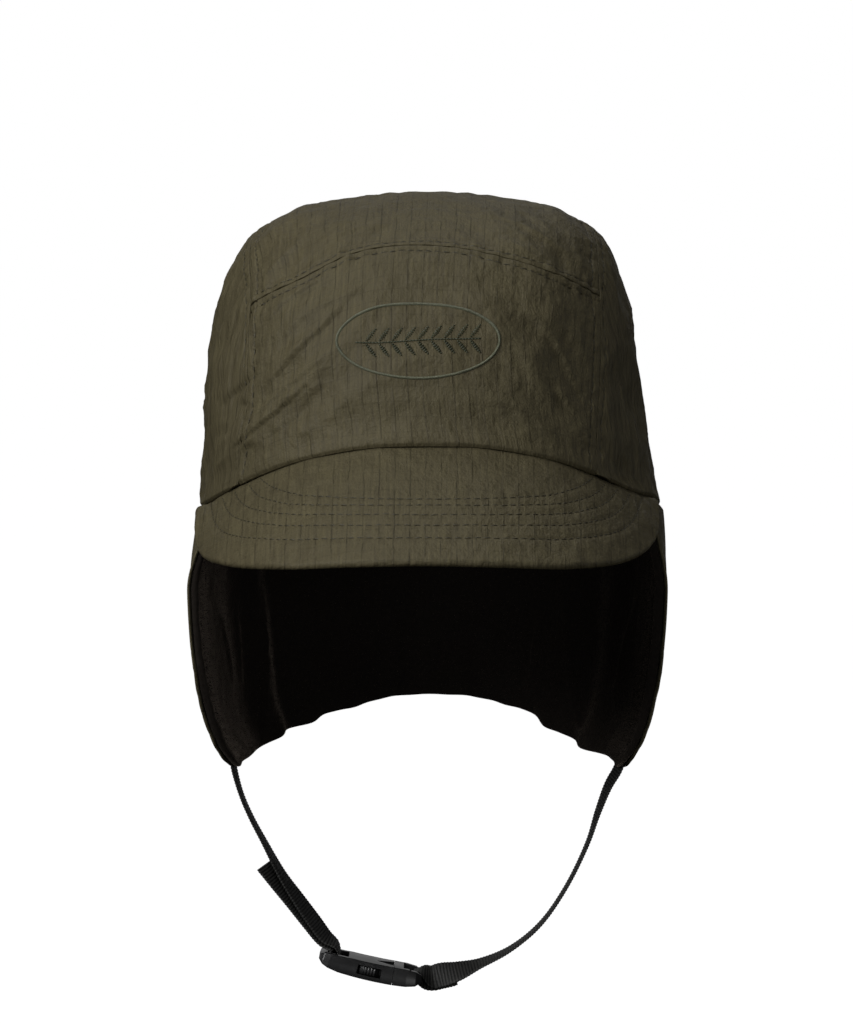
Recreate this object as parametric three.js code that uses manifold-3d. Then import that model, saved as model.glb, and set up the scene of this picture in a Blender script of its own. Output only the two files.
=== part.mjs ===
// Earflap cap: a four-panel cloth crown with a curved peak, a fleece-lined earflap that runs
// round the back from one end of the peak to the other, and a webbing chin strap that a
// side-release buckle closes. Millimetres, +Z up, the front faces -Y.
// The origin is the middle of the head opening, where the cap sits on the head.

import * as THREE from 'three';
import { mergeVertices } from 'three/addons/utils/BufferGeometryUtils.js';
import Module from 'manifold-3d';

const wasm = await Module();
wasm.setup();

// Driving dimensions
const SEAM_GAP = 0.3;
const CLOTH_WALL = 1.6;
const SHELL_WALL = 1.2;
const FLEECE_WALL = 2.6;

const HEAD = { halfWidth: 84.5, front: 104, back: 102, roundness: 2.3 };
const CROWN = { base: -12, height: 121.5, frontPower: 3.7, sidePower: 5.3, backPower: 2.5 };
const CROWN_TAPER = { amount: 0.117, power: 0.87 };
const CROWN_LEAN = { middle: -1.95, hem: 0.9 };
const CROWN_DOME = { rise: 5.4, halfWidth: 70, halfLength: 85 };
const HEM_LIFT_FADE = 1.5;

const PEAK = { thickness: 3.0, camber: 2.2, tuckUnder: 1.4, edgeRound: 1.3, edgeFlat: 0.3 };
const FLAP = { endAngle: 108, roundness: 2.3, straightBelow: -34, curledAbove: -10 };
const GATHER = { pitch: 14, depth: 0.9, fadeHeight: 22, halfAngle: 32 };

const STRAP = { width: 10, thickness: 1.3 };
const BUCKLE = {
  left: [-39.9, -171.6],
  depth: -2,
  socketLength: 28,
  length: 39,
  width: 17.5,
  thickness: 6.6,
  startSlope: 21,
  endSlope: 5,
};

// How finely each surface is cut into facets
const STEPS = { across: 14, frontUp: 8, topBack: 20, sideDown: 7 };
const PEAK_STEPS = { across: 30, out: 6 };
const FLAP_STEPS = { round: 64, down: 9 };
const STRAP_STEPS = { left: 58, right: 66, round: 8 };

const COLOURS = { olive: 0x4b4637, fleece: 0x14130f, webbing: 0x1a1a19, nylon: 0x202021 };

// Height of the crown's lower edge, by the angle round the head from the front, on each side
const HEM_LINE = rowsOf('angle left right', [
  [0, 23, 23], [15, 22, 22], [30, 17.5, 17.5], [43, 11, 11], [57, 3.5, 4.1], [70, -2, 0.5],
  [90, -6, -5.7], [120, -9, -9], [180, -12, -12],
]);

// Side seams of the middle strip: half-width of the strip against its distance from the
// middle of the head, by the angle over the head from the front hem to the back hem
const SIDE_SEAM = rowsOf('angle left right', [
  [0, 1.2, 0.9], [10, 1.15, 0.94], [20, 1.02, 0.96], [30, 0.957, 0.972], [40, 0.893, 0.94],
  [50, 0.847, 0.888], [60, 0.87, 0.867], [75, 0.9, 0.86], [90, 0.88, 0.84], [130, 0.7, 0.68],
  [180, 0.56, 0.56],
]);

// Seam across the top: its angle over the head, from the left side seam (-1) to the right (1)
const TOP_SEAM = rowsOf('side angle', [
  [-1, 47.3], [-0.6, 44.9], [-0.3, 48], [0, 48.7], [0.4, 47], [0.7, 47.5], [1, 50.9],
]);

// Folds and dents of the crown in the front view: a line from one point to another,
// how wide the fold is on each side of it, and how far it stands out (or goes in)
const CROWN_FOLD_ENDS = 0.15;
const CROWN_FOLDS = rowsOf('x0 z0 x1 z1 width rise', [
  [-62, 25, -34, 53, 4.5, 1.5],
  [-58, 33, -38, 54, 4.0, -1.0],
  [-57, 41, -34, 66, 5.0, 1.1],
  [25, 62, 56, 30, 6.0, 1.4],
  [30, 70, 62, 44, 5.5, -1.0],
  [-40, 76, 30, 80, 6.0, -0.9],
  [60, 62, 66, 20, 4.5, 1.2],
  [-72, 56, -80, 30, 5.0, 1.2],
]);

// Front edge of the peak, from the middle to the end: where it meets the hem (angle round
// the head), and the edge itself
const PEAK_EDGE = rowsOf('step hemAngle x y leftZ rightZ', [
  [0.0, 0, 0, -155, -11.5, -11.5],
  [0.2, 14, 27, -151.2, -12.4, -12.4],
  [0.4, 28, 52, -136.0, -14.6, -14.3],
  [0.6, 42, 70.6, -109.0, -15.9, -14.3],
  [0.8, 55, 80.2, -76, -14.6, -10.9],
  [0.93, 64, 82.6, -53, -8.5, -4.9],
  [1.0, 68.5, 82.4, -41.5, -5.1, -0.4],
]);

// Cross-section of the earflap, by height: half-width at the ears, and reach to the back
const FLAP_SECTION = rowsOf('height halfWidth back', [
  [-102, 72.6, 93.5], [-99, 74.0, 94.5], [-92, 77.7, 96], [-84, 80.6, 97], [-77, 82.3, 98],
  [-70, 83.7, 99], [-62, 84.8, 99.8], [-55, 85.6, 100.5], [-44, 86.4, 101.3], [-33, 86.8, 101.8],
  [-24, 86.8, 102], [-12, 85.8, 102], [0, 84.8, 102], [12, 84.5, 102],
]);

// Lower edge of the earflap, by the angle round the head from the back, on each side
const FLAP_EDGE = rowsOf('angle left right', [
  [0, -86.5, -86.5], [10, -87.6, -87.2], [20, -91, -90], [31, -93.2, -93.4], [35, -95.2, -96.6],
  [41, -96.4, -98.4], [50, -98.2, -101], [60, -101, -102.8], [75, -102.6, -102.8], [86, -102, -102],
  [92, -101.8, -101.8], [97, -98.8, -99], [100, -94.5, -95], [103, -86.5, -87], [105.5, -76, -76],
  [108, -61, -61],
]);

// Standing folds of the earflap: angle from the back, width and rise of the fold. They grow
// from nothing at the crown's hem to their full rise at a share of the way down.
const FOLD_FULL_DROP = 0.67;
const FLAP_FOLDS = rowsOf('angle width rise', [
  [-63, 8, 1.6], [-52, 4.5, -2.2], [-45, 4, 1.8], [-36, 5, -1.2],
  [70, 8, 1.4], [57, 5, -2.0], [48, 4.5, 1.8], [36, 5, -1.2],
]);

// Chin strap, from the tip of each flap to its bar in the buckle. x and z are the front
// view, turn is how far the webbing's face is turned towards the front
const LEFT_STRAP = rowsOf('x z turn', [
  [-71.6, -102.6, 6], [-68.9, -112.5, 3], [-65.3, -121.0, 3], [-60.6, -130.0, 5],
  [-53.9, -142.5, 12], [-47.6, -152.0, 21], [-41.9, -160.1, 25], [-37.9, -165.4, 22],
]);
const RIGHT_STRAP = rowsOf('x z turn', [
  [69.9, -103.2, -14], [66.6, -109.0, -12], [62.7, -119.1, -7], [59.0, -130.4, -2],
  [50.8, -147.4, 0], [41.2, -161.1, 0], [30.2, -170.2, 0], [19.0, -175.6, -1],
  [10.5, -178.6, -16], [6.2, -179.5, -50],
]);

// Turns rows of numbers into objects with named columns
function rowsOf(columns, rows) {
  const names = columns.split(' ');
  return rows.map((row) => Object.fromEntries(names.map((name, column) => [name, row[column]])));
}

// Smooth curve through one column of a table against another (cubic between the rows, with
// the mean of the neighbouring slopes at each row). A curve that is the same on both sides of
// the middle starts level.
function smooth(rows, inputName, outputName, startsLevel = false) {
  const xs = rows.map((row) => row[inputName]);
  const ys = rows.map((row) => row[outputName]);
  const last = xs.length - 1;
  const slopes = xs.slice(1).map((x, i) => (ys[i + 1] - ys[i]) / (x - xs[i]));
  const tangents = xs.map((_, i) => {
    const before = slopes[Math.max(i - 1, 0)];
    const after = slopes[Math.min(i, last - 1)];
    return i === 0 && startsLevel ? 0 : (before + after) / 2;
  });
  return (value) => {
    const x = Math.min(Math.max(value, xs[0]), xs[last]);
    let i = 0;
    while (i < last - 1 && x > xs[i + 1]) i += 1;
    const span = xs[i + 1] - xs[i];
    const t = (x - xs[i]) / span;
    const a = ys[i] * (1 + 2 * t) * (1 - t) ** 2 + tangents[i] * span * t * (1 - t) ** 2;
    const b = ys[i + 1] * t * t * (3 - 2 * t) - tangents[i + 1] * span * t * t * (1 - t);
    return a + b;
  };
}

const radians = THREE.MathUtils.degToRad;
const degrees = THREE.MathUtils.radToDeg;
const between = THREE.MathUtils.lerp;
const hemHeightLeft = smooth(HEM_LINE, 'angle', 'left', true);
const hemHeightRight = smooth(HEM_LINE, 'angle', 'right', true);
const seamRatioLeft = smooth(SIDE_SEAM, 'angle', 'left', true);
const seamRatioRight = smooth(SIDE_SEAM, 'angle', 'right', true);
const topSeamAngle = smooth(TOP_SEAM, 'side', 'angle');

// Height of the hem at an angle from the front, for the side that x is on. The two sides
// pass into each other at the middle of the front and of the back.
function hemHeight(angle, x) {
  return x < 0 ? hemHeightLeft(angle) : hemHeightRight(angle);
}

function seamRatio(angle, x) {
  return x < 0 ? seamRatioLeft(angle) : seamRatioRight(angle);
}

// Keeps the sign of a number while raising its size to a power
function signedPower(value, power) {
  return Math.sign(value) * Math.abs(value) ** power;
}

// Rows of points: one row for each step of the first value, one point for each of the second
function grid(rowSteps, columnSteps, pointAt) {
  const rows = [];
  for (let i = 0; i <= rowSteps; i += 1) {
    const row = [];
    for (let j = 0; j <= columnSteps; j += 1) row.push(pointAt(i / rowSteps, j / columnSteps));
    rows.push(row);
  }
  return rows;
}

// Closed body through a run of loops. Each loop goes out along one face and back along the
// other, so the flat ends are closed by joining its points in pairs, and the way back is cut
// into facets the other way round, so that both faces of a wall have the same facets.
function loft(loops) {
  const size = loops[0].length;
  const positions = loops.flatMap((loop) => loop.flatMap((point) => [point.x, point.y, point.z]));
  const faces = [];
  for (let i = 0; i + 1 < loops.length; i += 1) {
    for (let k = 0; k < size; k += 1) {
      const next = (k + 1) % size;
      const [a, b, c, d] = [i * size + k, i * size + next, (i + 1) * size + next, (i + 1) * size + k];
      if (k < size / 2) faces.push([a, b, c], [a, c, d]);
      else faces.push([a, b, d], [b, c, d]);
    }
  }
  const lastLoop = (loops.length - 1) * size;
  for (let k = 0; k + 1 < size / 2; k += 1) {
    const ends = [k, k + 1, size - 2 - k, size - 1 - k];
    faces.push([ends[2], ends[1], ends[0]], [ends[3], ends[2], ends[0]]);
    const far = ends.map((index) => index + lastLoop);
    faces.push([far[0], far[1], far[2]], [far[0], far[2], far[3]]);
  }
  return closedGeometry(positions, faces.flat());
}

// Cloth of some thickness: its outer and inner faces, joined along all four edges
function clothShell(outer, inner) {
  return loft(outer.map((row, i) => [...row, ...inner[i].slice().reverse()]));
}

// Merges shared corners, drops faces that have closed up, and turns the body's faces outwards
function closedGeometry(positions, index) {
  const loose = new THREE.BufferGeometry();
  loose.setAttribute('position', new THREE.Float32BufferAttribute(positions, 3));
  loose.setIndex(index);
  const merged = mergeVertices(loose, 1e-3);
  const kept = [];
  const order = merged.index.array;
  for (let i = 0; i < order.length; i += 3) {
    const [a, b, c] = [order[i], order[i + 1], order[i + 2]];
    if (a !== b && b !== c && c !== a) kept.push([a, b, c]);
  }
  const corner = (i) => new THREE.Vector3().fromBufferAttribute(merged.attributes.position, i);
  let volume = 0;
  for (const [a, b, c] of kept) volume += corner(a).dot(corner(b).cross(corner(c)));
  const facing = volume > 0 ? kept : kept.map(([a, b, c]) => [a, c, b]);
  merged.setIndex(facing.flat());
  merged.computeVertexNormals();
  return merged;
}

// How far the crown's folds move a point of its surface, seen from the front. A fold is
// highest halfway along and fades towards both ends.
function crownFold(x, z) {
  const endFade = (along) => Math.sin(Math.PI * between(CROWN_FOLD_ENDS, 1 - CROWN_FOLD_ENDS, along));
  let rise = 0;
  for (const fold of CROWN_FOLDS) {
    const alongX = fold.x1 - fold.x0;
    const alongZ = fold.z1 - fold.z0;
    const lengthSquared = alongX ** 2 + alongZ ** 2;
    const t = ((x - fold.x0) * alongX + (z - fold.z0) * alongZ) / lengthSquared;
    const along = Math.min(Math.max(t, 0), 1);
    const away = Math.hypot(x - fold.x0 - along * alongX, z - fold.z0 - along * alongZ);
    rise += fold.rise * Math.exp(-((away / fold.width) ** 2)) * endFade(along);
  }
  return rise;
}

// The folds are at the front: they fade out between these shares of facing forward
const FOLD_FACING = { none: -0.2, full: 0.4 };
const FOLD_UPWARD = 0.4;

// Point of the crown's surface, a depth below its outer face. The direction's three parts
// are shares of the half-width, the half-length and the height; the surface is a rounded box
// (a sum of powers) in them, which then narrows upwards and is lifted along the hem line.
function crownPoint(across, forward, up, depth) {
  const plan = Math.hypot(across, forward) || 1;
  const frontness = Math.max(forward / plan, 0) ** 2;
  const backness = Math.max(-forward / plan, 0) ** 2;
  const power = CROWN.sidePower
    + (CROWN.frontPower - CROWN.sidePower) * frontness
    + (CROWN.backPower - CROWN.sidePower) * backness;
  const round = Math.abs(across) ** HEAD.roundness + Math.abs(forward) ** HEAD.roundness;
  const size = (round ** (power / HEAD.roundness) + Math.abs(up) ** power) ** (-1 / power);
  const reach = forward > 0 ? HEAD.front : HEAD.back;
  const share = up * size;
  const narrow = 1 - CROWN_TAPER.amount * Math.max(share, 0) ** CROWN_TAPER.power;
  const lean = CROWN_LEAN.middle * Math.sin(Math.PI * share) + CROWN_LEAN.hem * (1 - share) ** 2;
  const x = (HEAD.halfWidth - depth) * across * size * narrow + lean;
  const y = -(reach - depth) * forward * size * narrow;
  const hemAngle = degrees(Math.atan2(Math.abs(across), forward));
  const lift = (hemHeight(hemAngle, across) - CROWN.base) * (1 - share) ** HEM_LIFT_FADE;
  const offCentre = (x / CROWN_DOME.halfWidth) ** 2 + (y / CROWN_DOME.halfLength) ** 2;
  const dome = CROWN_DOME.rise * Math.max(1 - offCentre, 0) ** 2 * share;
  const z = CROWN.base + (CROWN.height - CROWN_DOME.rise - depth) * share + lift + dome;
  const facing = THREE.MathUtils.smoothstep(forward / plan, FOLD_FACING.none, FOLD_FACING.full);
  const outward = new THREE.Vector3(x, y, FOLD_UPWARD * (z - CROWN.base)).normalize();
  return new THREE.Vector3(x, y, z).addScaledVector(outward, crownFold(x, z) * facing);
}

// The strip between the side seams: side runs from -1 to 1 across it, and the angle goes
// over the head from the front hem (0) to the back hem (180)
function stripPoint(side, angle, depth) {
  const over = radians(angle);
  const forward = angle === 180 ? -1 : Math.cos(over);
  const up = angle === 180 ? 0 : Math.sin(over);
  return crownPoint(side * seamRatio(angle, side), forward, up, depth);
}

function stripPanel(upSteps, startAngle, endAngle) {
  const face = (depth) => grid(upSteps, STEPS.across, (up, across) => {
    const side = across * 2 - 1;
    return stripPoint(side, between(startAngle(side), endAngle(side), up), depth);
  });
  return clothShell(face(0), face(CLOTH_WALL));
}

// Gap between two panels, as an angle over the head and as a share of the half-width. The
// side seams run slantwise across the sides, so their share is a little larger.
const SEAM_ANGLE = degrees(SEAM_GAP / 2 / HEAD.front);
const SLANT = 1.4;
const SEAM_SHARE = SLANT * SEAM_GAP / HEAD.halfWidth;

function frontPanel() {
  return stripPanel(STEPS.frontUp, () => 0, (side) => topSeamAngle(side) - SEAM_ANGLE);
}

function topPanel() {
  return stripPanel(STEPS.topBack, (side) => topSeamAngle(side) + SEAM_ANGLE, () => 180);
}

// Angle over the head at each step along a side seam, the same steps as the strip has there
function seamAngle(sign, along) {
  const step = along * (STEPS.frontUp + STEPS.topBack);
  if (step <= STEPS.frontUp) return between(0, topSeamAngle(sign), step / STEPS.frontUp);
  return between(topSeamAngle(sign), 180, (step - STEPS.frontUp) / STEPS.topBack);
}

// A side panel fills the space between a side seam and the hem. Its lines go from the seam
// down to the hem, and close up at the two corners where the seam meets the hem.
function sidePanel(sign) {
  const ratio = (angle) => seamRatio(angle, sign) + SEAM_SHARE;
  const hemStart = Math.atan2(ratio(0), 1);
  const hemEnd = Math.atan2(ratio(180), -1);
  const face = (depth) => grid(STEPS.frontUp + STEPS.topBack, STEPS.sideDown, (along, down) => {
    const angle = seamAngle(sign, along);
    const over = radians(angle);
    const seam = new THREE.Vector3(ratio(angle), Math.cos(over), Math.sin(over));
    const hemAngle = between(hemStart, hemEnd, angle / 180);
    const hem = new THREE.Vector3(Math.sin(hemAngle), Math.cos(hemAngle), 0);
    const way = seam.normalize().lerp(hem, down);
    const up = along === 1 ? 0 : way.z;
    return crownPoint(sign * way.x, way.y, up, depth);
  });
  return clothShell(face(0), face(CLOTH_WALL));
}

// Hem of the crown at an angle from the front, moved in towards the head by a depth
function hemPoint(angle, depth) {
  return crownPoint(Math.sin(radians(angle)), Math.cos(radians(angle)), 0, depth);
}

// Upper face of the peak: straight lines from the hem to the front edge, bowed up a little
const peakHemAngle = smooth(PEAK_EDGE, 'step', 'hemAngle');
const peakEdgeX = smooth(PEAK_EDGE, 'step', 'x');
const peakEdgeY = smooth(PEAK_EDGE, 'step', 'y', true);
const peakEdgeLeftZ = smooth(PEAK_EDGE, 'step', 'leftZ', true);
const peakEdgeRightZ = smooth(PEAK_EDGE, 'step', 'rightZ', true);

function peakPoint(side, out) {
  const step = Math.abs(side);
  const sign = side < 0 ? -1 : 1;
  const hem = hemPoint(sign * peakHemAngle(step), PEAK.tuckUnder);
  const start = new THREE.Vector3(hem.x, hem.y, hem.z - SEAM_GAP);
  const edgeZ = side < 0 ? peakEdgeLeftZ(step) : peakEdgeRightZ(step);
  const end = new THREE.Vector3(sign * peakEdgeX(step), peakEdgeY(step), edgeZ);
  const point = start.lerp(end, out);
  point.z += PEAK.camber * 4 * out * (1 - out) * (1 - step ** 4);
  return point;
}

// Direction square to the peak's upper face, from its slopes across and out
function peakUp(side, out) {
  const small = 0.01;
  const acrossSlope = peakPoint(Math.min(side + small, 1), out)
    .sub(peakPoint(Math.max(side - small, -1), out));
  const outSlope = peakPoint(side, Math.min(out + small, 1)).sub(peakPoint(side, Math.max(out - small, 0)));
  const up = outSlope.cross(acrossSlope).normalize();
  return up.z < 0 ? up.negate() : up;
}

function peak() {
  const loops = [];
  for (let i = 0; i <= PEAK_STEPS.across; i += 1) {
    const side = i / PEAK_STEPS.across * 2 - 1;
    const top = [];
    const bottom = [];
    for (let k = 0; k <= PEAK_STEPS.out; k += 1) {
      const out = k / PEAK_STEPS.out;
      const point = peakPoint(side, out);
      top.push(point);
      bottom.push(point.clone().addScaledVector(peakUp(side, out), -PEAK.thickness));
    }
    const edge = top[PEAK_STEPS.out].clone().add(bottom[PEAK_STEPS.out]).divideScalar(2);
    const outward = top[PEAK_STEPS.out].clone().sub(top[PEAK_STEPS.out - 1]).normalize();
    edge.addScaledVector(outward, PEAK.edgeRound);
    const upperEdge = edge.clone().lerp(top[PEAK_STEPS.out], PEAK.edgeFlat);
    const lowerEdge = edge.clone().lerp(bottom[PEAK_STEPS.out], PEAK.edgeFlat);
    loops.push([...top, upperEdge, lowerEdge, ...bottom.reverse()]);
  }
  return loft(loops);
}

// How far the earflap's standing folds and the gathers at the nape move its surface
function flapFold(angle, drop, aboveEdge) {
  let rise = 0;
  for (const fold of FLAP_FOLDS) {
    rise += fold.rise * Math.exp(-(((angle - fold.angle) / fold.width) ** 2));
  }
  const ripple = Math.cos(2 * Math.PI * radians(angle) * HEAD.back / GATHER.pitch);
  const atNape = Math.max(1 - (angle / GATHER.halfAngle) ** 2, 0);
  const gathers = GATHER.depth * ripple * atNape * Math.exp(-aboveEdge / GATHER.fadeHeight);
  return rise * Math.sin(Math.PI / 2 * Math.min(drop / FOLD_FULL_DROP, 1)) + gathers;
}

// Point of the earflap: the angle goes round from the back, drop from the hem of the crown
// (0) to the flap's lower edge (1). In front of the ears the flap runs straight forward, and
// only its top curls in with the hem.
const flapEdgeLeft = smooth(FLAP_EDGE, 'angle', 'left', true);
const flapEdgeRight = smooth(FLAP_EDGE, 'angle', 'right', true);
const flapHalfWidth = smooth(FLAP_SECTION, 'height', 'halfWidth');
const flapBack = smooth(FLAP_SECTION, 'height', 'back');

function flapPoint(angle, drop, depth) {
  const top = hemHeight(180 - Math.abs(angle), angle) - SEAM_GAP;
  const bottom = angle < 0 ? flapEdgeLeft(-angle) : flapEdgeRight(angle);
  const z = between(top, bottom, drop);
  const rise = flapFold(angle, drop, z - bottom) - depth;
  const turn = radians(angle);
  const roundSide = signedPower(Math.sin(turn), 2 / FLAP.roundness);
  const curl = THREE.MathUtils.smoothstep(z, FLAP.straightBelow, FLAP.curledAbove);
  const sideways = Math.abs(angle) > 90 ? between(Math.sign(angle), roundSide, curl) : roundSide;
  const x = (flapHalfWidth(z) + rise) * sideways + CROWN_LEAN.hem * curl;
  const y = (flapBack(z) + rise) * signedPower(Math.cos(turn), 2 / FLAP.roundness);
  return new THREE.Vector3(x, y, z);
}

function flapLayer(depth, wall) {
  const face = (faceDepth) => grid(FLAP_STEPS.round, FLAP_STEPS.down, (round, drop) => (
    flapPoint(between(-FLAP.endAngle, FLAP.endAngle, round), drop, faceDepth)
  ));
  return clothShell(face(depth), face(depth + wall));
}

// Middle line of the buckle: it bends gently from its steeper left end to its right end.
// Returns the place and slope at a distance from the left end.
const BEND_STEPS = 40;

function buckleLine(along) {
  const place = new THREE.Vector3(BUCKLE.left[0], BUCKLE.depth, BUCKLE.left[1]);
  const slopeAt = (distance) => (
    radians(between(BUCKLE.startSlope, BUCKLE.endSlope, distance / BUCKLE.length))
  );
  for (let i = 0; i < BEND_STEPS; i += 1) {
    const slope = slopeAt(along * (i + 0.5) / BEND_STEPS);
    place.x += Math.cos(slope) * along / BEND_STEPS;
    place.z -= Math.sin(slope) * along / BEND_STEPS;
  }
  return { place, slope: slopeAt(along) };
}

// Takes a point of the straight buckle (distance from its left end, offset across its width
// and height above its middle) to its place on the bent middle line
function onBuckle(along, across, height) {
  const { place, slope } = buckleLine(along);
  return new THREE.Vector3(
    place.x + Math.sin(slope) * height,
    place.y + across,
    place.z + Math.cos(slope) * height,
  );
}

// Block of the buckle, cut into slices so that it can bend. Each slice has a distance along,
// a half-width, a lowest and a highest point, and the size of its cut-off corners.
function buckleBlock(slices) {
  const loops = slices.map(({ along, halfWidth, low, high, corner }) => [
    [-halfWidth, high - corner], [-halfWidth + corner, high], [halfWidth - corner, high],
    [halfWidth, high - corner], [halfWidth, low + corner], [halfWidth - corner, low],
    [-halfWidth + corner, low], [-halfWidth, low + corner],
  ].map(([across, height]) => onBuckle(along, across, height)));
  return loft(loops);
}

// Block that has the same section at every distance of a list
function evenBlock(distances, halfWidth, halfHeight, corner) {
  return solidOf(buckleBlock(distances.map((along) => (
    { along, halfWidth, low: -halfHeight, high: halfHeight, corner }
  ))));
}

function solidOf(geometry) {
  const merged = geometry.clone();
  merged.deleteAttribute('normal');
  return new wasm.Manifold(new wasm.Mesh({
    numProp: 3,
    vertProperties: Float32Array.from(merged.attributes.position.array),
    triVerts: Uint32Array.from(merged.index.array),
  }));
}

function geometryOf(solid) {
  const mesh = solid.getMesh();
  return closedGeometry(Array.from(mesh.vertProperties), Array.from(mesh.triVerts));
}

// Slot for the strap, cut right through the buckle between two distances along it
const SLOT_HALF_WIDTH = STRAP.width / 2 + SEAM_GAP;

function slotThrough(left, right) {
  return evenBlock([left, right], SLOT_HALF_WIDTH, BUCKLE.thickness, 0.8);
}

// Eight-sided bar across the buckle, its ends sunk into the side rails
function roundedBar({ along, level, radius }) {
  const flat = radius * Math.tan(Math.PI / 8);
  const slice = (offset, halfHeight) => ({
    along: along + offset,
    halfWidth: SLOT_HALF_WIDTH + 0.5,
    low: level - halfHeight,
    high: level + halfHeight,
    corner: 0.1,
  });
  return solidOf(buckleBlock([
    slice(-radius, flat), slice(-flat, radius), slice(flat, radius), slice(radius, flat),
  ]));
}

// Socket half: a flat tube for the plug, with a window in each side for the plug's pads, and
// a bar in the open left end that the strap goes round
const SOCKET_BAR = { along: 5.2, level: -1.2, radius: 1.1 };
const BAR_SLOT = { left: 2.3, right: 10.5 };
const CAVITY = { start: 13, middle: 20, halfWidth: 6.9, halfHeight: 1.9 };
const WINDOW = { start: 15.5, end: 23.5, halfHeight: 1.5 };
const SOCKET_SLICES = rowsOf('along halfWidth low high corner', [
  [0, 6.95, -0.9, 0.9, 0.3], [1.6, 8.15, -2.2, 2.0, 0.8], [4, 8.75, -2.9, 2.4, 0.8],
  [8, 8.75, -3.3, 2.7, 0.8], [12, 8.75, -3.3, 3.1, 0.8], [20, 8.75, -3.3, 3.3, 0.8],
  [BUCKLE.socketLength, 8.75, -3.3, 3.3, 0.8],
]);

function buckleSocket() {
  const body = solidOf(buckleBlock(SOCKET_SLICES));
  const slot = slotThrough(BAR_SLOT.left, BAR_SLOT.right);
  const bar = roundedBar(SOCKET_BAR);
  const cavityStops = [CAVITY.start, CAVITY.middle, BUCKLE.socketLength + 1];
  const cavity = evenBlock(cavityStops, CAVITY.halfWidth, CAVITY.halfHeight, 0.3);
  const windowStops = [WINDOW.start, WINDOW.end];
  const windows = evenBlock(windowStops, BUCKLE.width / 2 + 1, WINDOW.halfHeight, 0.4);
  return geometryOf(body.subtract(slot).add(bar).subtract(cavity).subtract(windows));
}

// Plug half: a base with a bar for the strap, a middle tongue and two arms whose pads show
// in the socket's windows
const PLUG_START = BUCKLE.socketLength + SEAM_GAP;
const PLUG_BAR = { along: 37.4, level: 0, radius: 1.1 };
const PLUG_SLOT_LEFT = 31.6;
const PLUG_SLICES = rowsOf('along halfWidth low high corner', [
  [PLUG_START, 8.75, -3.3, 3.3, 0.8], [33, 8.75, -3.2, 3.1, 0.8], [36.5, 8.45, -2.7, 2.5, 0.8],
  [38.7, 7.35, -1.3, 1.3, 0.6],
]);
const TONGUE = { start: 15, end: PLUG_START + 0.5, halfWidth: 1.4 };
const ARM_OUTLINE = rowsOf('along inner outer', [
  [WINDOW.start + 0.6, 5.6, 8.2], [WINDOW.start + 2.2, 4.9, 8.6], [WINDOW.end - 1.6, 4.4, 8.0],
  [WINDOW.end - 0.6, 4.2, 6.4], [PLUG_START + 0.5, 4.4, 6.5],
]);

function bucklePlug() {
  const base = solidOf(buckleBlock(PLUG_SLICES));
  const slot = slotThrough(PLUG_SLOT_LEFT, BUCKLE.length + 1);
  const height = CAVITY.halfHeight - SEAM_GAP;
  const tongue = evenBlock([TONGUE.start, TONGUE.end], TONGUE.halfWidth, height, 0.3);
  let plug = base.subtract(slot).add(roundedBar(PLUG_BAR)).add(tongue);
  for (const side of [-1, 1]) plug = plug.add(solidOf(sprungArm(side, height)));
  return geometryOf(plug);
}

// One sprung arm of the plug, ending in the pad that a finger presses
function sprungArm(side, height) {
  const padHeight = WINDOW.halfHeight - SEAM_GAP;
  return loft(ARM_OUTLINE.map(({ along, inner, outer }) => {
    const tallest = outer > CAVITY.halfWidth - SEAM_GAP ? padHeight : height;
    return [[inner, tallest], [outer, tallest], [outer, -tallest], [inner, -tallest]]
      .map(([across, level]) => onBuckle(along, side * across, level));
  }));
}

// Frames along a strap's middle line: place, direction, across the width and square to the
// face. The line is a smooth curve through the table's points and the bar it ends at.
function strapFrames(rows, approach, barPlace, count) {
  const points = rows.map((row) => new THREE.Vector3(row.x, BUCKLE.depth, row.z));
  const curve = new THREE.CatmullRomCurve3([...points, approach.place, barPlace], false, 'centripetal');
  const turns = rows.map((row, step) => ({ step, turn: row.turn }));
  turns.push({ step: rows.length, turn: approach.turn }, { step: rows.length + 1, turn: 0 });
  const turnAt = smooth(turns, 'step', 'turn');
  const frames = [];
  for (let i = 0; i <= count; i += 1) {
    const t = curve.getUtoTmapping(i / count);
    const along = curve.getTangent(t);
    const square = new THREE.Vector3(-along.z, 0, along.x);
    const turn = radians(turnAt(t * (rows.length + 1)));
    const width = new THREE.Vector3(0, Math.cos(turn), 0).addScaledVector(square, Math.sin(turn));
    frames.push({ place: curve.getPoint(t), along, width, square: along.clone().cross(width) });
  }
  return frames;
}

// Section of the webbing at a place, square to the way it runs
function webbingSection(place, width, square) {
  const corner = (a, b) => place.clone()
    .addScaledVector(width, a * STRAP.width / 2)
    .addScaledVector(square, b * STRAP.thickness / 2);
  return [corner(-1, 1), corner(1, 1), corner(1, -1), corner(-1, -1)];
}

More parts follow.
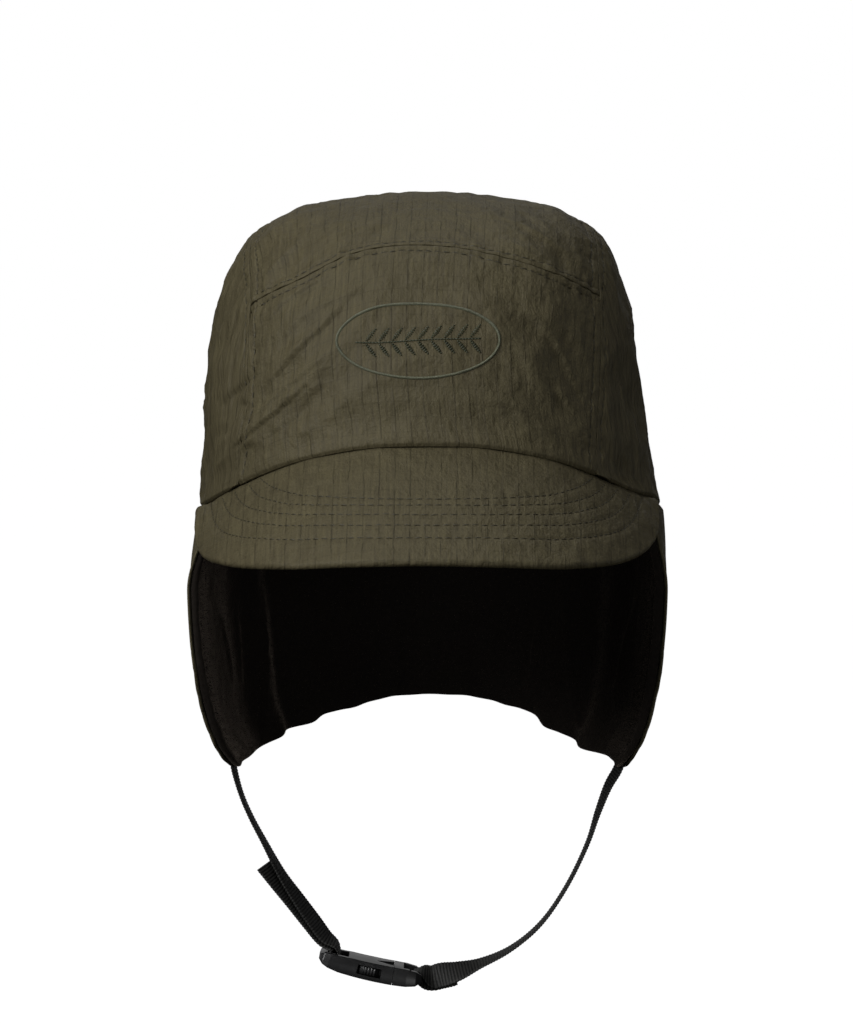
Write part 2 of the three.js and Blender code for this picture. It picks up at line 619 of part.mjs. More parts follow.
// A strap runs down to its bar, turns round it and comes back beside itself. The two runs
// stand apart by the bar's size at the bar, and by the spread table away from it.
function strapRound(frames, barReach, spread, backLength) {
  const total = frames.length - 1;
  let length = 0;
  for (let i = 1; i <= total; i += 1) length += frames[i].place.distanceTo(frames[i - 1].place);
  const fromBar = (i) => length * (total - i) / total;
  const sections = [];
  for (let i = 0; i <= total; i += 1) {
    const { place, width, square } = frames[i];
    const offset = spread.down(fromBar(i), barReach);
    sections.push(webbingSection(place.clone().addScaledVector(square, offset), width, square));
  }
  const bar = frames[total];
  for (let k = 1; k < STRAP_STEPS.round; k += 1) {
    const turn = Math.PI * k / STRAP_STEPS.round;
    const square = bar.square.clone().multiplyScalar(Math.cos(turn));
    square.addScaledVector(bar.along, Math.sin(turn));
    const place = bar.place.clone().addScaledVector(square, barReach);
    sections.push(webbingSection(place, bar.width, square));
  }
  for (let i = total; i >= 0 && fromBar(i) <= backLength; i -= 1) {
    const { place, width, square } = frames[i];
    const offset = spread.back(fromBar(i), barReach);
    const back = square.clone().negate();
    sections.push(webbingSection(place.clone().addScaledVector(back, offset), width, back));
  }
  return loft(sections);
}

// Share that is 1 close to the bar and falls smoothly to 0 away from it
const OPEN_LENGTH = { whole: 3, gone: 9 };

function nearBar(distance) {
  return 1 - THREE.MathUtils.smoothstep(distance, OPEN_LENGTH.whole, OPEN_LENGTH.gone);
}

// Free tail of the left strap: it lies under the strap and lifts off it towards its end.
// The right strap's end is stitched down.
const LAYER_PITCH = STRAP.thickness + SEAM_GAP;
const TAIL_LENGTH = 46;
const TAIL_LIFT = 2.5;
const APPROACH_HEIGHT = 4.4;
const STITCHED_LENGTH = 14;

function leftStrap() {
  const bar = onBuckle(SOCKET_BAR.along, 0, SOCKET_BAR.level);
  const approach = { place: onBuckle(SOCKET_BAR.along, 0, APPROACH_HEIGHT), turn: 6 };
  const frames = strapFrames(LEFT_STRAP, approach, bar, STRAP_STEPS.left);
  const barReach = SOCKET_BAR.radius + SEAM_GAP + STRAP.thickness / 2;
  const spread = {
    down: (distance, reach) => reach * nearBar(distance),
    back: (distance, reach) => between(
      LAYER_PITCH + TAIL_LIFT * (distance / TAIL_LENGTH) ** 2,
      reach,
      nearBar(distance),
    ),
  };
  return strapRound(frames, barReach, spread, TAIL_LENGTH);
}

function rightStrap() {
  const bar = onBuckle(PLUG_BAR.along, 0, PLUG_BAR.level);
  const approach = { place: onBuckle(PLUG_BAR.along + STRAP.width / 2, 0, 0), turn: -14 };
  const frames = strapFrames(RIGHT_STRAP, approach, bar, STRAP_STEPS.right);
  const barReach = PLUG_BAR.radius + SEAM_GAP + STRAP.thickness / 2;
  const spread = {
    down: (distance, reach) => reach * nearBar(distance),
    back: (distance, reach) => between(LAYER_PITCH, reach, nearBar(distance)),
  };
  return strapRound(frames, barReach, spread, STITCHED_LENGTH);
}

const cap = new THREE.Group();

function addPiece(name, geometry, color, roughness, metalness = 0) {
  const mesh = new THREE.Mesh(geometry, new THREE.MeshStandardMaterial({ color, roughness, metalness }));
  mesh.name = name;
  cap.add(mesh);
}

addPiece('crown_front_panel', frontPanel(), COLOURS.olive, 0.75);
addPiece('crown_top_panel', topPanel(), COLOURS.olive, 0.75);
addPiece('crown_left_side_panel', sidePanel(-1), COLOURS.olive, 0.75);
addPiece('crown_right_side_panel', sidePanel(1), COLOURS.olive, 0.75);
addPiece('peak', peak(), COLOURS.olive, 0.75);
addPiece('earflap_shell', flapLayer(0, SHELL_WALL), COLOURS.olive, 0.75);
addPiece('earflap_lining', flapLayer(SHELL_WALL + SEAM_GAP, FLEECE_WALL), COLOURS.fleece, 0.95);
addPiece('chin_strap_left', leftStrap(), COLOURS.webbing, 0.8);
addPiece('chin_strap_right', rightStrap(), COLOURS.webbing, 0.8);
addPiece('buckle_socket', buckleSocket(), COLOURS.nylon, 0.4);
addPiece('buckle_plug', bucklePlug(), COLOURS.nylon, 0.4);

export default cap;
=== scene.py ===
"""Earflap cap: the finish of its cloth, fleece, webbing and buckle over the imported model.

Shapes are worked out in millimetres and become metres when a mesh is made. The cap sits on
the origin, +Z is up, the front faces -Y, and left and right are the viewer's.
"""
import math

import bmesh
import bpy
import numpy as np
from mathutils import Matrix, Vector


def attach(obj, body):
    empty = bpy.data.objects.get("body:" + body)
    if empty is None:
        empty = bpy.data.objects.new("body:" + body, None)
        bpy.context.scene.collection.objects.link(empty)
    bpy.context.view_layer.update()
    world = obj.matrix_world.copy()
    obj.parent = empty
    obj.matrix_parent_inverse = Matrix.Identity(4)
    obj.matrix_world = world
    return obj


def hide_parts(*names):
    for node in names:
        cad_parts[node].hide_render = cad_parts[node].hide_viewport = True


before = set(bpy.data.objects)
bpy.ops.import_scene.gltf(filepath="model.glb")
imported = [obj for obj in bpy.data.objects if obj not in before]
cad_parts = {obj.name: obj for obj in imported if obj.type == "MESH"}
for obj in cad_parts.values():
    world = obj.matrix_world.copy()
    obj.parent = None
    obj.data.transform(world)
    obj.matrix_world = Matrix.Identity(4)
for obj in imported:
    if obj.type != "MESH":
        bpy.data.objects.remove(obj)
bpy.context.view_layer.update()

MM = 0.001

# Sizes of the cap in millimetres and degrees, the same as its solids have
SEAM_GAP = 0.3
CLOTH_WALL = 1.6
SHELL_WALL = 1.2
FLEECE_WALL = 2.6
HEAD = {"half_width": 84.5, "front": 104.0, "back": 102.0, "roundness": 2.3}
CROWN = {"base": -12.0, "height": 121.5, "front": 3.7, "side": 5.3, "back": 2.5}
CROWN_TAPER = {"amount": 0.117, "power": 0.87}
CROWN_LEAN = {"middle": -1.95, "hem": 0.9}
CROWN_DOME = {"rise": 5.4, "half_width": 70.0, "half_length": 85.0}
HEM_LIFT_FADE = 1.5
PEAK = {"thickness": 3.0, "camber": 2.2, "tuck_under": 1.4, "edge_round": 1.3}
FLAP = {"end_angle": 108.0, "roundness": 2.3, "straight_below": -34.0, "curled_above": -10.0}
FOLD_FULL_DROP = 0.67
GATHER = {"pitch": 14.0, "depth": 0.9, "fade_height": 22.0, "half_angle": 32.0}
STRAP = {"width": 10.0, "thickness": 1.3}
BUCKLE = {
    "left": (-39.9, -171.6), "depth": -2.0, "length": 39.0, "start_slope": 21.0, "end_slope": 5.0,
}

# Edges of the finished panels: their radius and the gap between two panels, which is tighter
# than between the solids
SEAM_ROUND = 0.3
PANEL_GAP = 0.03

# Seeds of the random hills and tufts of each piece
SEEDS = {
    "front": 11, "top": 31, "left": 51, "right": 71, "peak": 91, "flap": 111, "lining": 131,
    "pile": 211,
}

# View that the cap is seen from, in degrees and millimetres
VIEW = {"turn": 0.4, "elevation": 4.5, "distance": 1750.0, "target": (-0.55, 0.0, -8.0)}
VIEW_HEIGHT = 376.8


def table(columns, rows):
    """Named columns of a short table, each as an array."""
    values = np.array(rows, float)
    return {name: values[:, i] for i, name in enumerate(columns.split())}


HEM_LINE = table("angle left right", [
    (0, 23, 23), (15, 22, 22), (30, 17.5, 17.5), (43, 11, 11), (57, 3.5, 4.1), (70, -2, 0.5),
    (90, -6, -5.7), (120, -9, -9), (180, -12, -12),
])
SIDE_SEAM = table("angle left right", [
    (0, 1.2, 0.9), (10, 1.15, 0.94), (20, 1.02, 0.96), (30, 0.957, 0.972), (40, 0.893, 0.94),
    (50, 0.847, 0.888), (60, 0.87, 0.867), (75, 0.9, 0.86), (90, 0.88, 0.84), (130, 0.7, 0.68),
    (180, 0.56, 0.56),
])
TOP_SEAM = table("side angle", [
    (-1, 47.3), (-0.6, 44.9), (-0.3, 48.0), (0, 48.7), (0.4, 47.0), (0.7, 47.5), (1, 50.9),
])
PEAK_EDGE = table("step hem_angle x y left_z right_z", [
    (0.0, 0, 0, -155, -11.5, -11.5),
    (0.2, 14, 27, -151.2, -12.4, -12.4),
    (0.4, 28, 52, -136.0, -14.6, -14.3),
    (0.6, 42, 70.6, -109.0, -15.9, -14.3),
    (0.8, 55, 80.2, -76, -14.6, -10.9),
    (0.93, 64, 82.6, -53, -7.6, -4.9),
    (1.0, 68.5, 82.4, -41.5, -3.2, -0.4),
])
FLAP_SECTION = table("height half_width back", [
    (-102, 72.6, 93.5), (-99, 74.0, 94.5), (-92, 77.7, 96), (-84, 80.6, 97), (-77, 82.3, 98),
    (-70, 83.7, 99), (-62, 84.8, 99.8), (-55, 85.6, 100.5), (-44, 86.4, 101.3), (-33, 86.8, 101.8),
    (-24, 86.8, 102), (-12, 85.8, 102), (0, 84.8, 102), (12, 84.5, 102),
])
FLAP_EDGE = table("angle left right", [
    (0, -86.5, -86.5), (10, -87.6, -87.2), (20, -91, -90), (31, -93.2, -93.4), (35, -95.2, -96.6),
    (41, -96.4, -98.4), (50, -98.2, -101), (60, -101, -102.8), (75, -102.6, -102.8), (86, -102, -102),
    (92, -101.8, -101.8), (97, -98.8, -99), (100, -94.5, -95), (103, -86.5, -87), (105.5, -76, -76),
    (108, -61, -61),
])
FLAP_FOLDS = table("angle width rise", [
    (-63, 8, 1.6), (-52, 4.5, -2.2), (-45, 4, 1.8), (-36, 5, -1.2),
    (70, 8, 1.4), (57, 5, -2.0), (48, 4.5, 1.8), (36, 5, -1.2),
])

# Broad folds of the crown, as its solids have them: lines in x and z
CROWN_FOLDS = table("x0 z0 x1 z1 width rise", [
    (-62, 25, -34, 53, 4.5, 1.5),
    (-58, 33, -38, 54, 4.0, -1.0),
    (-57, 41, -34, 66, 5.0, 1.1),
    (25, 62, 56, 30, 6.0, 1.4),
    (30, 70, 62, 44, 5.5, -1.0),
    (-40, 76, 30, 80, 6.0, -0.9),
    (60, 62, 66, 20, 4.5, 1.2),
    (-72, 56, -80, 30, 5.0, 1.2),
])

# Creases of the cloth, seen from the front: each bends through three places (x, height), with
# its width, how far it stands out, and how far the cloth steps up and down beside its line
CREASES = table("x0 h0 x1 h1 x2 h2 width rise step", [
    (-57.8, 47.1, -44.2, 62.6, -21.7, 85.4, 2.2, 0.25, 0.75),
    (-72.1, 22.8, -55.2, 37.5, -41.6, 50.0, 2.2, 0.25, 0.75),
    (-76.5, 37.2, -69.9, 45.6, -62.2, 51.2, 1.6, -0.9, 0.6),
    (-69.6, 39.0, -66.6, 39.4, -63.7, 40.1, 0.8, -0.6, 0.0),
    (29.1, 65.5, 35.0, 56.7, 37.9, 51.9, 2.6, -0.5, 0.3),
    (44.5, 53.7, 50.4, 42.3, 55.6, 35.7, 2.0, -0.5, 0.5),
    (48.2, 65.5, 52.3, 62.6, 56.3, 59.6, 1.8, -0.4, 0.3),
    (-62.6, 96.0, -47.1, 106.0, -31.6, 114.1, 1.6, 0.55, 0.0),
    (-52.6, 99.7, -37.9, 104.5, -22.4, 108.6, 1.4, 0.35, 0.0),
    (11.8, 115.2, 37.2, 104.1, 48.9, 96.0, 1.6, 0.45, 0.0),
    (25.4, 106.4, 35.7, 99.7, 44.5, 92.7, 1.4, 0.35, 0.0),
    (-50.8, 78.0, -36.0, 83.5, -10.3, 87.2, 4.5, -0.6, 0.0),
    (-56.0, 66.0, -46.0, 76.0, -30.0, 82.0, 4.0, 0.6, 0.0),
    (-70.7, 90.5, -76.2, 74.3, -79.5, 51.9, 1.0, 0.4, 0.0),
    (-68.1, 70.7, -74.7, 55.9, -79.1, 37.5, 1.0, 0.4, 0.0),
    (-72.1, 68.8, -77.3, 50.4, -81.0, 26.5, 0.9, 0.35, 0.0),
    (-73.6, 29.6, -77.4, 22.8, -81.4, 13.2, 1.2, 0.5, 0.0),
    (-69.0, 29.1, -74.1, 20.0, -80.2, 11.6, 1.2, 0.45, 0.0),
    (-61.8, 29.6, -66.8, 25.0, -70.7, 21.2, 1.2, 0.45, 0.0),
    (-51.5, 23.6, -58.3, 20.6, -65.1, 16.2, 2.4, 0.5, 0.0),
    (4.0, 26.0, 15.5, 25.4, 26.5, 23.8, 1.6, 0.3, 0.0),
    (65.5, 20.0, 74.0, 15.5, 82.4, 8.8, 2.0, -0.6, 0.0),
    (62.0, 86.0, 66.0, 70.0, 68.0, 50.0, 2.4, 0.6, 0.0),
    (-20.0, 45.0, 0.0, 40.5, 24.0, 42.0, 6.0, 0.35, 0.0),
    (21.6, -11.8, 27.8, -14.4, 32.3, -18.3, 1.8, 0.3, 0.0),
    (-70.1, 78.0, -74.5, 61.5, -78.9, 41.2, 1.6, 0.5, 0.5),
    (-72.7, 50.4, -77.5, 36.8, -81.1, 22.1, 1.4, 0.5, 0.5),
    (-68.3, 38.3, -73.8, 27.2, -79.3, 15.5, 1.6, 0.6, 0.4),
    (-71.6, 92.0, -74.5, 81.7, -76.4, 70.7, 1.4, 0.5, 0.3),
    (-65.0, 30.9, -50.2, 46.7, -30.0, 61.5, 2.6, 0.7, 0.5),
    (-60.5, 26.5, -46.6, 37.5, -35.5, 52.3, 2.2, -0.6, 0.3),
    (-53.9, 61.5, -41.0, 73.6, -20.1, 83.2, 2.4, 0.6, 0.4),
    (-59.4, 67.0, -50.2, 78.0, -35.5, 87.2, 2.0, 0.5, 0.4),
    (-64.2, 92.0, -52.1, 104.5, -31.8, 113.0, 2.0, 0.7, 0.5),
    (-60.5, 83.5, -46.6, 98.3, -24.5, 106.7, 2.2, 0.6, 0.4),
    (-46.6, 92.0, -31.8, 101.9, -9.8, 106.7, 2.0, 0.45, 0.3),
    (16.0, 109.3, 34.4, 104.5, 54.6, 92.0, 2.4, 0.5, 0.3),
    (27.0, 100.1, 41.8, 92.0, 58.3, 78.0, 2.0, 0.5, 0.4),
    (34.4, 74.3, 47.3, 61.5, 60.2, 33.9, 2.6, 0.6, 0.5),
    (19.0, 42.0, 34.4, 37.5, 49.1, 30.2, 3.5, 0.35, 0.2),
    (64.6, 100.1, 68.3, 83.5, 71.2, 63.3, 2.0, 0.8, 0.3),
    (63.8, 67.0, 70.5, 48.6, 74.9, 26.5, 2.0, 0.5, 0.4),
])
FLEECE_FOLDS = table("x0 h0 x1 h1 x2 h2 width rise step", [
    (-78.2, -32.4, -74.9, -50.8, -71.6, -69.2, 2.2, 0.9, 0.3),
    (-69.0, -32.4, -68.6, -50.8, -67.5, -69.2, 2.0, 0.7, -0.3),
    (-60.5, -28.7, -60.2, -58.1, -60.5, -83.2, 1.8, 1.1, 0.5),
    (52.4, -23.6, 53.5, -54.5, 58.0, -85.4, 1.8, 1.1, -0.5),
    (41.8, -30.5, 39.6, -50.8, 37.0, -71.4, 2.2, 0.8, 0.3),
    (79.3, -26.9, 73.0, -50.8, 68.6, -71.4, 2.6, 0.9, 0.3),
])

# All creases stand out this much more than their tables say. Their lines have this many
# steps, and the cloth's step beside a line turns over within half a millimetre and reaches 2.2
# of the crease's widths
CREASE_STRENGTH = 1.25
CREASE_STEPS = 24
STEP_TURN = 0.5
STEP_REACH = 2.2

# Small creases of handled cloth: the pitch and height of each size, from broad to fine, and
# the share of their height that lies above the cloth
RUMPLES = ((26, 0.95), (11, 0.5), (5, 0.18))
RUMPLES_ABOVE = 0.35

# Rows of stitches on the peak: how far out each is at the middle (0 at the crown, 1 at the
# edge), how much it bows, and how far to each side it runs before it meets the crown
PEAK_ROWS = table("out bow left right", [
    (0.530, 1.30, 0.62, 0.60),
    (0.583, 0.80, 0.68, 0.66),
    (0.660, 0.60, 0.77, 0.73),
    (0.743, 0.40, 0.86, 0.81),
    (0.838, 0.18, 0.97, 0.905),
])

# Stitching: the crown's rows run this far from their seams, the flap's above its lower edge
TOPSTITCH = {"pitch": 3.1, "gap": 0.6, "radius": 0.19, "side_seam": 3.7, "top_seam": 2.7}
HEM_ROW = 7.0
PEAK_STITCH = {"pitch": 3.3, "gap": 0.6, "radius": 0.2}

# How the cloth dips into a plain and a topstitched seam, how deep the stitches pull it in and
# how it puckers between them
PLAIN_DIP = {"depth": 0.9, "width": 0.75}
SEAM_DIP = {"depth": 0.12, "width": 0.6}
GROOVE = {"depth": 0.4, "width": 0.5}
PUCKER = {"pitch": 5.5, "height": 0.28, "width": 3.0}

# Embroidery
RING = {"x": -3.1, "height": 63.3, "half_width": 30.0, "half_height": 14.0, "band": 1.1}
SATIN = {"pitch": 0.42, "radius": 0.24, "slant": 0.5, "lift": 0.45}
SPRIG = {"half_length": 22.5, "sway": 0.8, "sway_length": 14}
STEM = {"threads": 40, "length": 1.5, "radius": 0.26, "lift": 0.3}
LEAF = {
    "pairs": 9, "threads": 7, "length": 6.2, "width": 1.9, "slope": 52, "from_stem": 0.5,
    "radius": 0.3, "lift": 0.34,
}

UP = np.array([0, 0, 1.0])


# Curves and helpers

def smooth_curve(rows, given, wanted, starts_level=False):
    """Cubic through one column of a table against another, with the mean of the neighbouring
    slopes at each row; a curve that mirrors at its first row starts level."""
    xs = rows[given]
    ys = rows[wanted]
    slopes = np.diff(ys) / np.diff(xs)
    tangents = (np.r_[slopes[0], slopes] + np.r_[slopes, slopes[-1]]) / 2
    if starts_level:
        tangents[0] = 0

    def curve(value):
        x = np.clip(value, xs[0], xs[-1])
        i = np.clip(np.searchsorted(xs, x, side="right") - 1, 0, len(xs) - 2)
        span = xs[i + 1] - xs[i]
        t = (x - xs[i]) / span
        before = ys[i] * (1 + 2 * t) * (1 - t) ** 2 + tangents[i] * span * t * (1 - t) ** 2
        after = ys[i + 1] * t * t * (3 - 2 * t) - tangents[i + 1] * span * t * t * (1 - t)
        return before + after

    return curve


hem_left = smooth_curve(HEM_LINE, "angle", "left", True)
hem_right = smooth_curve(HEM_LINE, "angle", "right", True)
seam_ratio_left = smooth_curve(SIDE_SEAM, "angle", "left", True)
seam_ratio_right = smooth_curve(SIDE_SEAM, "angle", "right", True)
top_seam_angle = smooth_curve(TOP_SEAM, "side", "angle")
peak_hem_angle = smooth_curve(PEAK_EDGE, "step", "hem_angle")
peak_edge_x = smooth_curve(PEAK_EDGE, "step", "x")
peak_edge_y = smooth_curve(PEAK_EDGE, "step", "y", True)
peak_edge_left_z = smooth_curve(PEAK_EDGE, "step", "left_z", True)
peak_edge_right_z = smooth_curve(PEAK_EDGE, "step", "right_z", True)
flap_edge_left = smooth_curve(FLAP_EDGE, "angle", "left", True)
flap_edge_right = smooth_curve(FLAP_EDGE, "angle", "right", True)
flap_half_width = smooth_curve(FLAP_SECTION, "height", "half_width")
flap_back = smooth_curve(FLAP_SECTION, "height", "back")


def smoothstep(value, low, high):
    """0 below low, 1 above high, and an S curve between them."""
    t = np.clip((value - low) / (high - low), 0, 1)
    return t * t * (3 - 2 * t)


def bump(distance, width):
    """Bell of height 1 at distance 0."""
    return np.exp(-(distance / width) ** 2)


def unit(vectors):
    """Vectors of length 1 along the last axis."""
    return vectors / np.maximum(np.linalg.norm(vectors, axis=-1, keepdims=True), 1e-9)


def points(x, y, z):
    """x, y and z arrays as one array of points."""
    return np.stack(np.broadcast_arrays(x, y, z), -1)


def hills(places, pitch, seed, waves=14):
    """Seeded random hills about 1 high: a sum of plane waves of about one pitch in random
    directions, for places with any number of coordinates."""
    rng = np.random.default_rng(seed)
    ways = unit(rng.normal(size=(waves, places.shape[-1])))
    lengths = pitch * rng.uniform(0.7, 1.6, waves)
    phases = rng.uniform(0, 2 * np.pi, waves)
    return np.sin(places @ (ways * (2 * np.pi / lengths[:, None])).T + phases).sum(-1) / math.sqrt(waves)


def fine_at_ends(count, share=0.85):
    """Steps from 0 to 1 that are short near both ends: t - share sin(2 pi t) / 2 pi."""
    t = np.linspace(0, 1, count + 1)
    return t - share * np.sin(2 * np.pi * t) / (2 * np.pi)


def row_arcs(grid):
    """Distance of each point from the first one of its row, along the row."""
    steps = np.linalg.norm(np.diff(grid, axis=1), axis=-1)
    return np.concatenate([np.zeros((len(grid), 1)), np.cumsum(steps, 1)], 1)


def column_arcs(grid):
    """Distance of each point from the first one of its column, along the column."""
    return row_arcs(grid.swapaxes(0, 1)).swapaxes(0, 1)


def grid_normals(grid, outward):
    """Unit normals of a grid, from the cross product of its two directions, turned to the side
    that the outward vectors point to."""
    rows = np.gradient(grid, axis=0)
    columns = np.gradient(grid, axis=1)
    normals = unit(np.cross(rows, columns))
    sign = np.sign(np.sum(normals * outward, -1, keepdims=True))
    return normals * np.where(sign == 0, 1, sign)


def in_view(places):
    """Places seen by the viewer, as millimetres across and up on a plane through the target."""
    turn = math.radians(VIEW["turn"])
    rise = math.radians(VIEW["elevation"])
    offset = places - np.array(VIEW["target"])
    across = offset[..., 0] * math.cos(turn) + offset[..., 1] * math.sin(turn)
    away = offset[..., 1] * math.cos(turn) - offset[..., 0] * math.sin(turn)
    up = away * math.sin(rise) + offset[..., 2] * math.cos(rise)
    depth = VIEW["distance"] + away * math.cos(rise) - offset[..., 2] * math.sin(rise)
    scale = VIEW["distance"] / depth
    return np.stack([across * scale, up * scale], -1)


def crease_relief(places, creases=CREASES):
    """How far the creases move places of the cloth, at a distance d from each crease's line as
    the viewer sees it: rise exp(-d / width) plus step tanh(2 d) exp(-d / 2.2 widths), which is
    high on one side of the line and low on the other. Both fade out at the line's ends."""
    seen = in_view(places)
    relief = np.zeros(places.shape[:-1])
    t = np.linspace(0, 1, CREASE_STEPS + 1)[:, None]
    for i in range(len(creases["rise"])):
        first, middle, last = [
            np.array([creases[f"x{k}"][i], creases[f"h{k}"][i]]) for k in range(3)
        ]
        line = first * (1 - t) * (1 - 2 * t) + middle * 4 * t * (1 - t) + last * t * (2 * t - 1)
        width = creases["width"][i]
        reach = 6 * width
        low = line.min(0) - reach
        high = line.max(0) + reach
        near = np.all((seen > low) & (seen < high), -1)
        offset = seen[near][:, None] - line
        squared = np.sum(offset ** 2, -1)
        nearest = squared.argmin(1)
        away = np.sqrt(squared[np.arange(len(nearest)), nearest])
        along = np.gradient(line, axis=0)[nearest]
        closest = offset[np.arange(len(nearest)), nearest]
        side = along[:, 0] * closest[:, 1] - along[:, 1] * closest[:, 0]
        signed = away * np.sign(side)
        fade = np.sin(np.pi * np.clip(nearest / CREASE_STEPS, 0.02, 0.98)) ** 0.7
        cusp = creases["rise"][i] * np.exp(-away / width)
        sided = np.tanh(signed / STEP_TURN) * np.exp(-away / (STEP_REACH * width))
        relief[near] += CREASE_STRENGTH * (cusp + creases["step"][i] * sided) * fade
    return relief


def rumples(places, seed):
    """Shallow creases of handled cloth, along the lines where random hills cross zero: the sum
    of height * (share above - |hills|) for each pitch. The hills are drawn out along the pull
    of the cloth, which falls from the middle of the cap to both sides."""
    aside = np.hypot(places[..., 0], 15)
    up = places[..., 2]
    pulled = points((up - aside) * 0.35, (up + aside) * 0.7, places[..., 1] * 0.6)
    relief = np.zeros(places.shape[:-1])
    for pitch, height in RUMPLES:
        relief += height * (RUMPLES_ABOVE - np.abs(hills(pulled, pitch, seed + pitch)))
    return relief


# Surfaces of the cap

def hem_height(angle, x):
    """Height of the crown's lower edge at an angle from the front, on the side that x is on."""
    return np.where(x < 0, hem_left(angle), hem_right(angle))


def seam_ratio(angle, x):
    """Half-width of the strip against its distance from the middle, on the side that x is on."""
    return np.where(x < 0, seam_ratio_left(angle), seam_ratio_right(angle))


def crown_fold(x, z):
    """Broad folds: a bell across each line of CROWN_FOLDS, highest halfway along it."""
    rise = np.zeros(np.broadcast(x, z).shape)
    for x0, z0, x1, z1, width, height in zip(*CROWN_FOLDS.values()):
        along_x = x1 - x0
        along_z = z1 - z0
        t = np.clip(((x - x0) * along_x + (z - z0) * along_z) / (along_x ** 2 + along_z ** 2), 0, 1)
        away = np.hypot(x - x0 - t * along_x, z - z0 - t * along_z)
        rise = rise + height * bump(away, width) * np.sin(np.pi * (0.15 + 0.7 * t))
    return rise


def crown_point(across, forward, up, depth):
    """Place on the crown, a depth below its face: a rounded box (a sum of powers) in shares of
    the half-width, half-length and height, narrowed upwards, leant and lifted along the hem."""
    plan = np.maximum(np.hypot(across, forward), 1e-9)
    frontness = np.maximum(forward / plan, 0) ** 2
    backness = np.maximum(-forward / plan, 0) ** 2
    power = (CROWN["side"] + (CROWN["front"] - CROWN["side"]) * frontness
             + (CROWN["back"] - CROWN["side"]) * backness)
    around = np.abs(across) ** HEAD["roundness"] + np.abs(forward) ** HEAD["roundness"]
    size = (around ** (power / HEAD["roundness"]) + np.abs(up) ** power) ** (-1 / power)
    reach = np.where(forward > 0, HEAD["front"], HEAD["back"])
    share = up * size
    narrow = 1 - CROWN_TAPER["amount"] * np.maximum(share, 0) ** CROWN_TAPER["power"]
    left = np.maximum(1 - share, 0)
    lean = CROWN_LEAN["middle"] * np.sin(np.pi * share) + CROWN_LEAN["hem"] * left ** 2
    x = (HEAD["half_width"] - depth) * across * size * narrow + lean
    y = -(reach - depth) * forward * size * narrow
    hem_angle = np.degrees(np.arctan2(np.abs(across), forward))
    lift = (hem_height(hem_angle, across) - CROWN["base"]) * left ** HEM_LIFT_FADE
    off_centre = (x / CROWN_DOME["half_width"]) ** 2 + (y / CROWN_DOME["half_length"]) ** 2
    dome = CROWN_DOME["rise"] * np.maximum(1 - off_centre, 0) ** 2 * share
    z = CROWN["base"] + (CROWN["height"] - CROWN_DOME["rise"] - depth) * share + lift + dome
    facing = smoothstep(forward / plan, -0.2, 0.4)
    outward = unit(points(x, y, 0.4 * (z - CROWN["base"])))
    return points(x, y, z) + outward * (crown_fold(x, z) * facing)[..., None]


def strip_point(side, angle, depth):
    """Place on the strip between the side seams: side from -1 to 1, angle over the head from
    the front hem (0) to the back hem (180)."""
    over = np.radians(angle)
    forward = np.where(angle >= 180, -1, np.cos(over))
    up = np.where(angle >= 180, 0, np.sin(over))
    return crown_point(side * seam_ratio(angle, side), forward, up, depth)


def side_point(sign, angle, down, depth):
    """Place on a side panel: angle over the head along its seam, down from the seam to the
    hem. The way there goes straight from the seam's direction to the hem's."""
    share = PANEL_GAP / HEAD["half_width"]
    hem_start = np.arctan2(seam_ratio(0, sign) + share, 1)
    hem_end = np.arctan2(seam_ratio(180, sign) + share, -1)
    over = np.radians(angle)
    seam = unit(points(seam_ratio(angle, sign) + share, np.cos(over), np.sin(over)))
    hem_angle = hem_start + (hem_end - hem_start) * angle / 180
    hem = points(np.sin(hem_angle), np.cos(hem_angle), 0 * hem_angle)
    way = seam + (hem - seam) * down[..., None]
    return crown_point(sign * way[..., 0], way[..., 1], np.maximum(way[..., 2], 0), depth)


def peak_point(side, out):
    """Place on the peak's upper face: straight from the hem (0) to the front edge (1), bowed up
    by a camber."""
    step = np.abs(side)
    sign = np.where(side < 0, -1, 1)
    hem_angle = np.radians(peak_hem_angle(step))
    start = crown_point(
        sign * np.sin(hem_angle), np.cos(hem_angle), 0 * hem_angle, PEAK["tuck_under"])
    start = start - SEAM_GAP * UP
    edge_z = np.where(side < 0, peak_edge_left_z(step), peak_edge_right_z(step))
    end = points(sign * peak_edge_x(step), peak_edge_y(step), edge_z)
    place = start + (end - start) * out[..., None]
    camber = PEAK["camber"] * 4 * out * (1 - out) * (1 - step ** 4)
    return place + camber[..., None] * UP


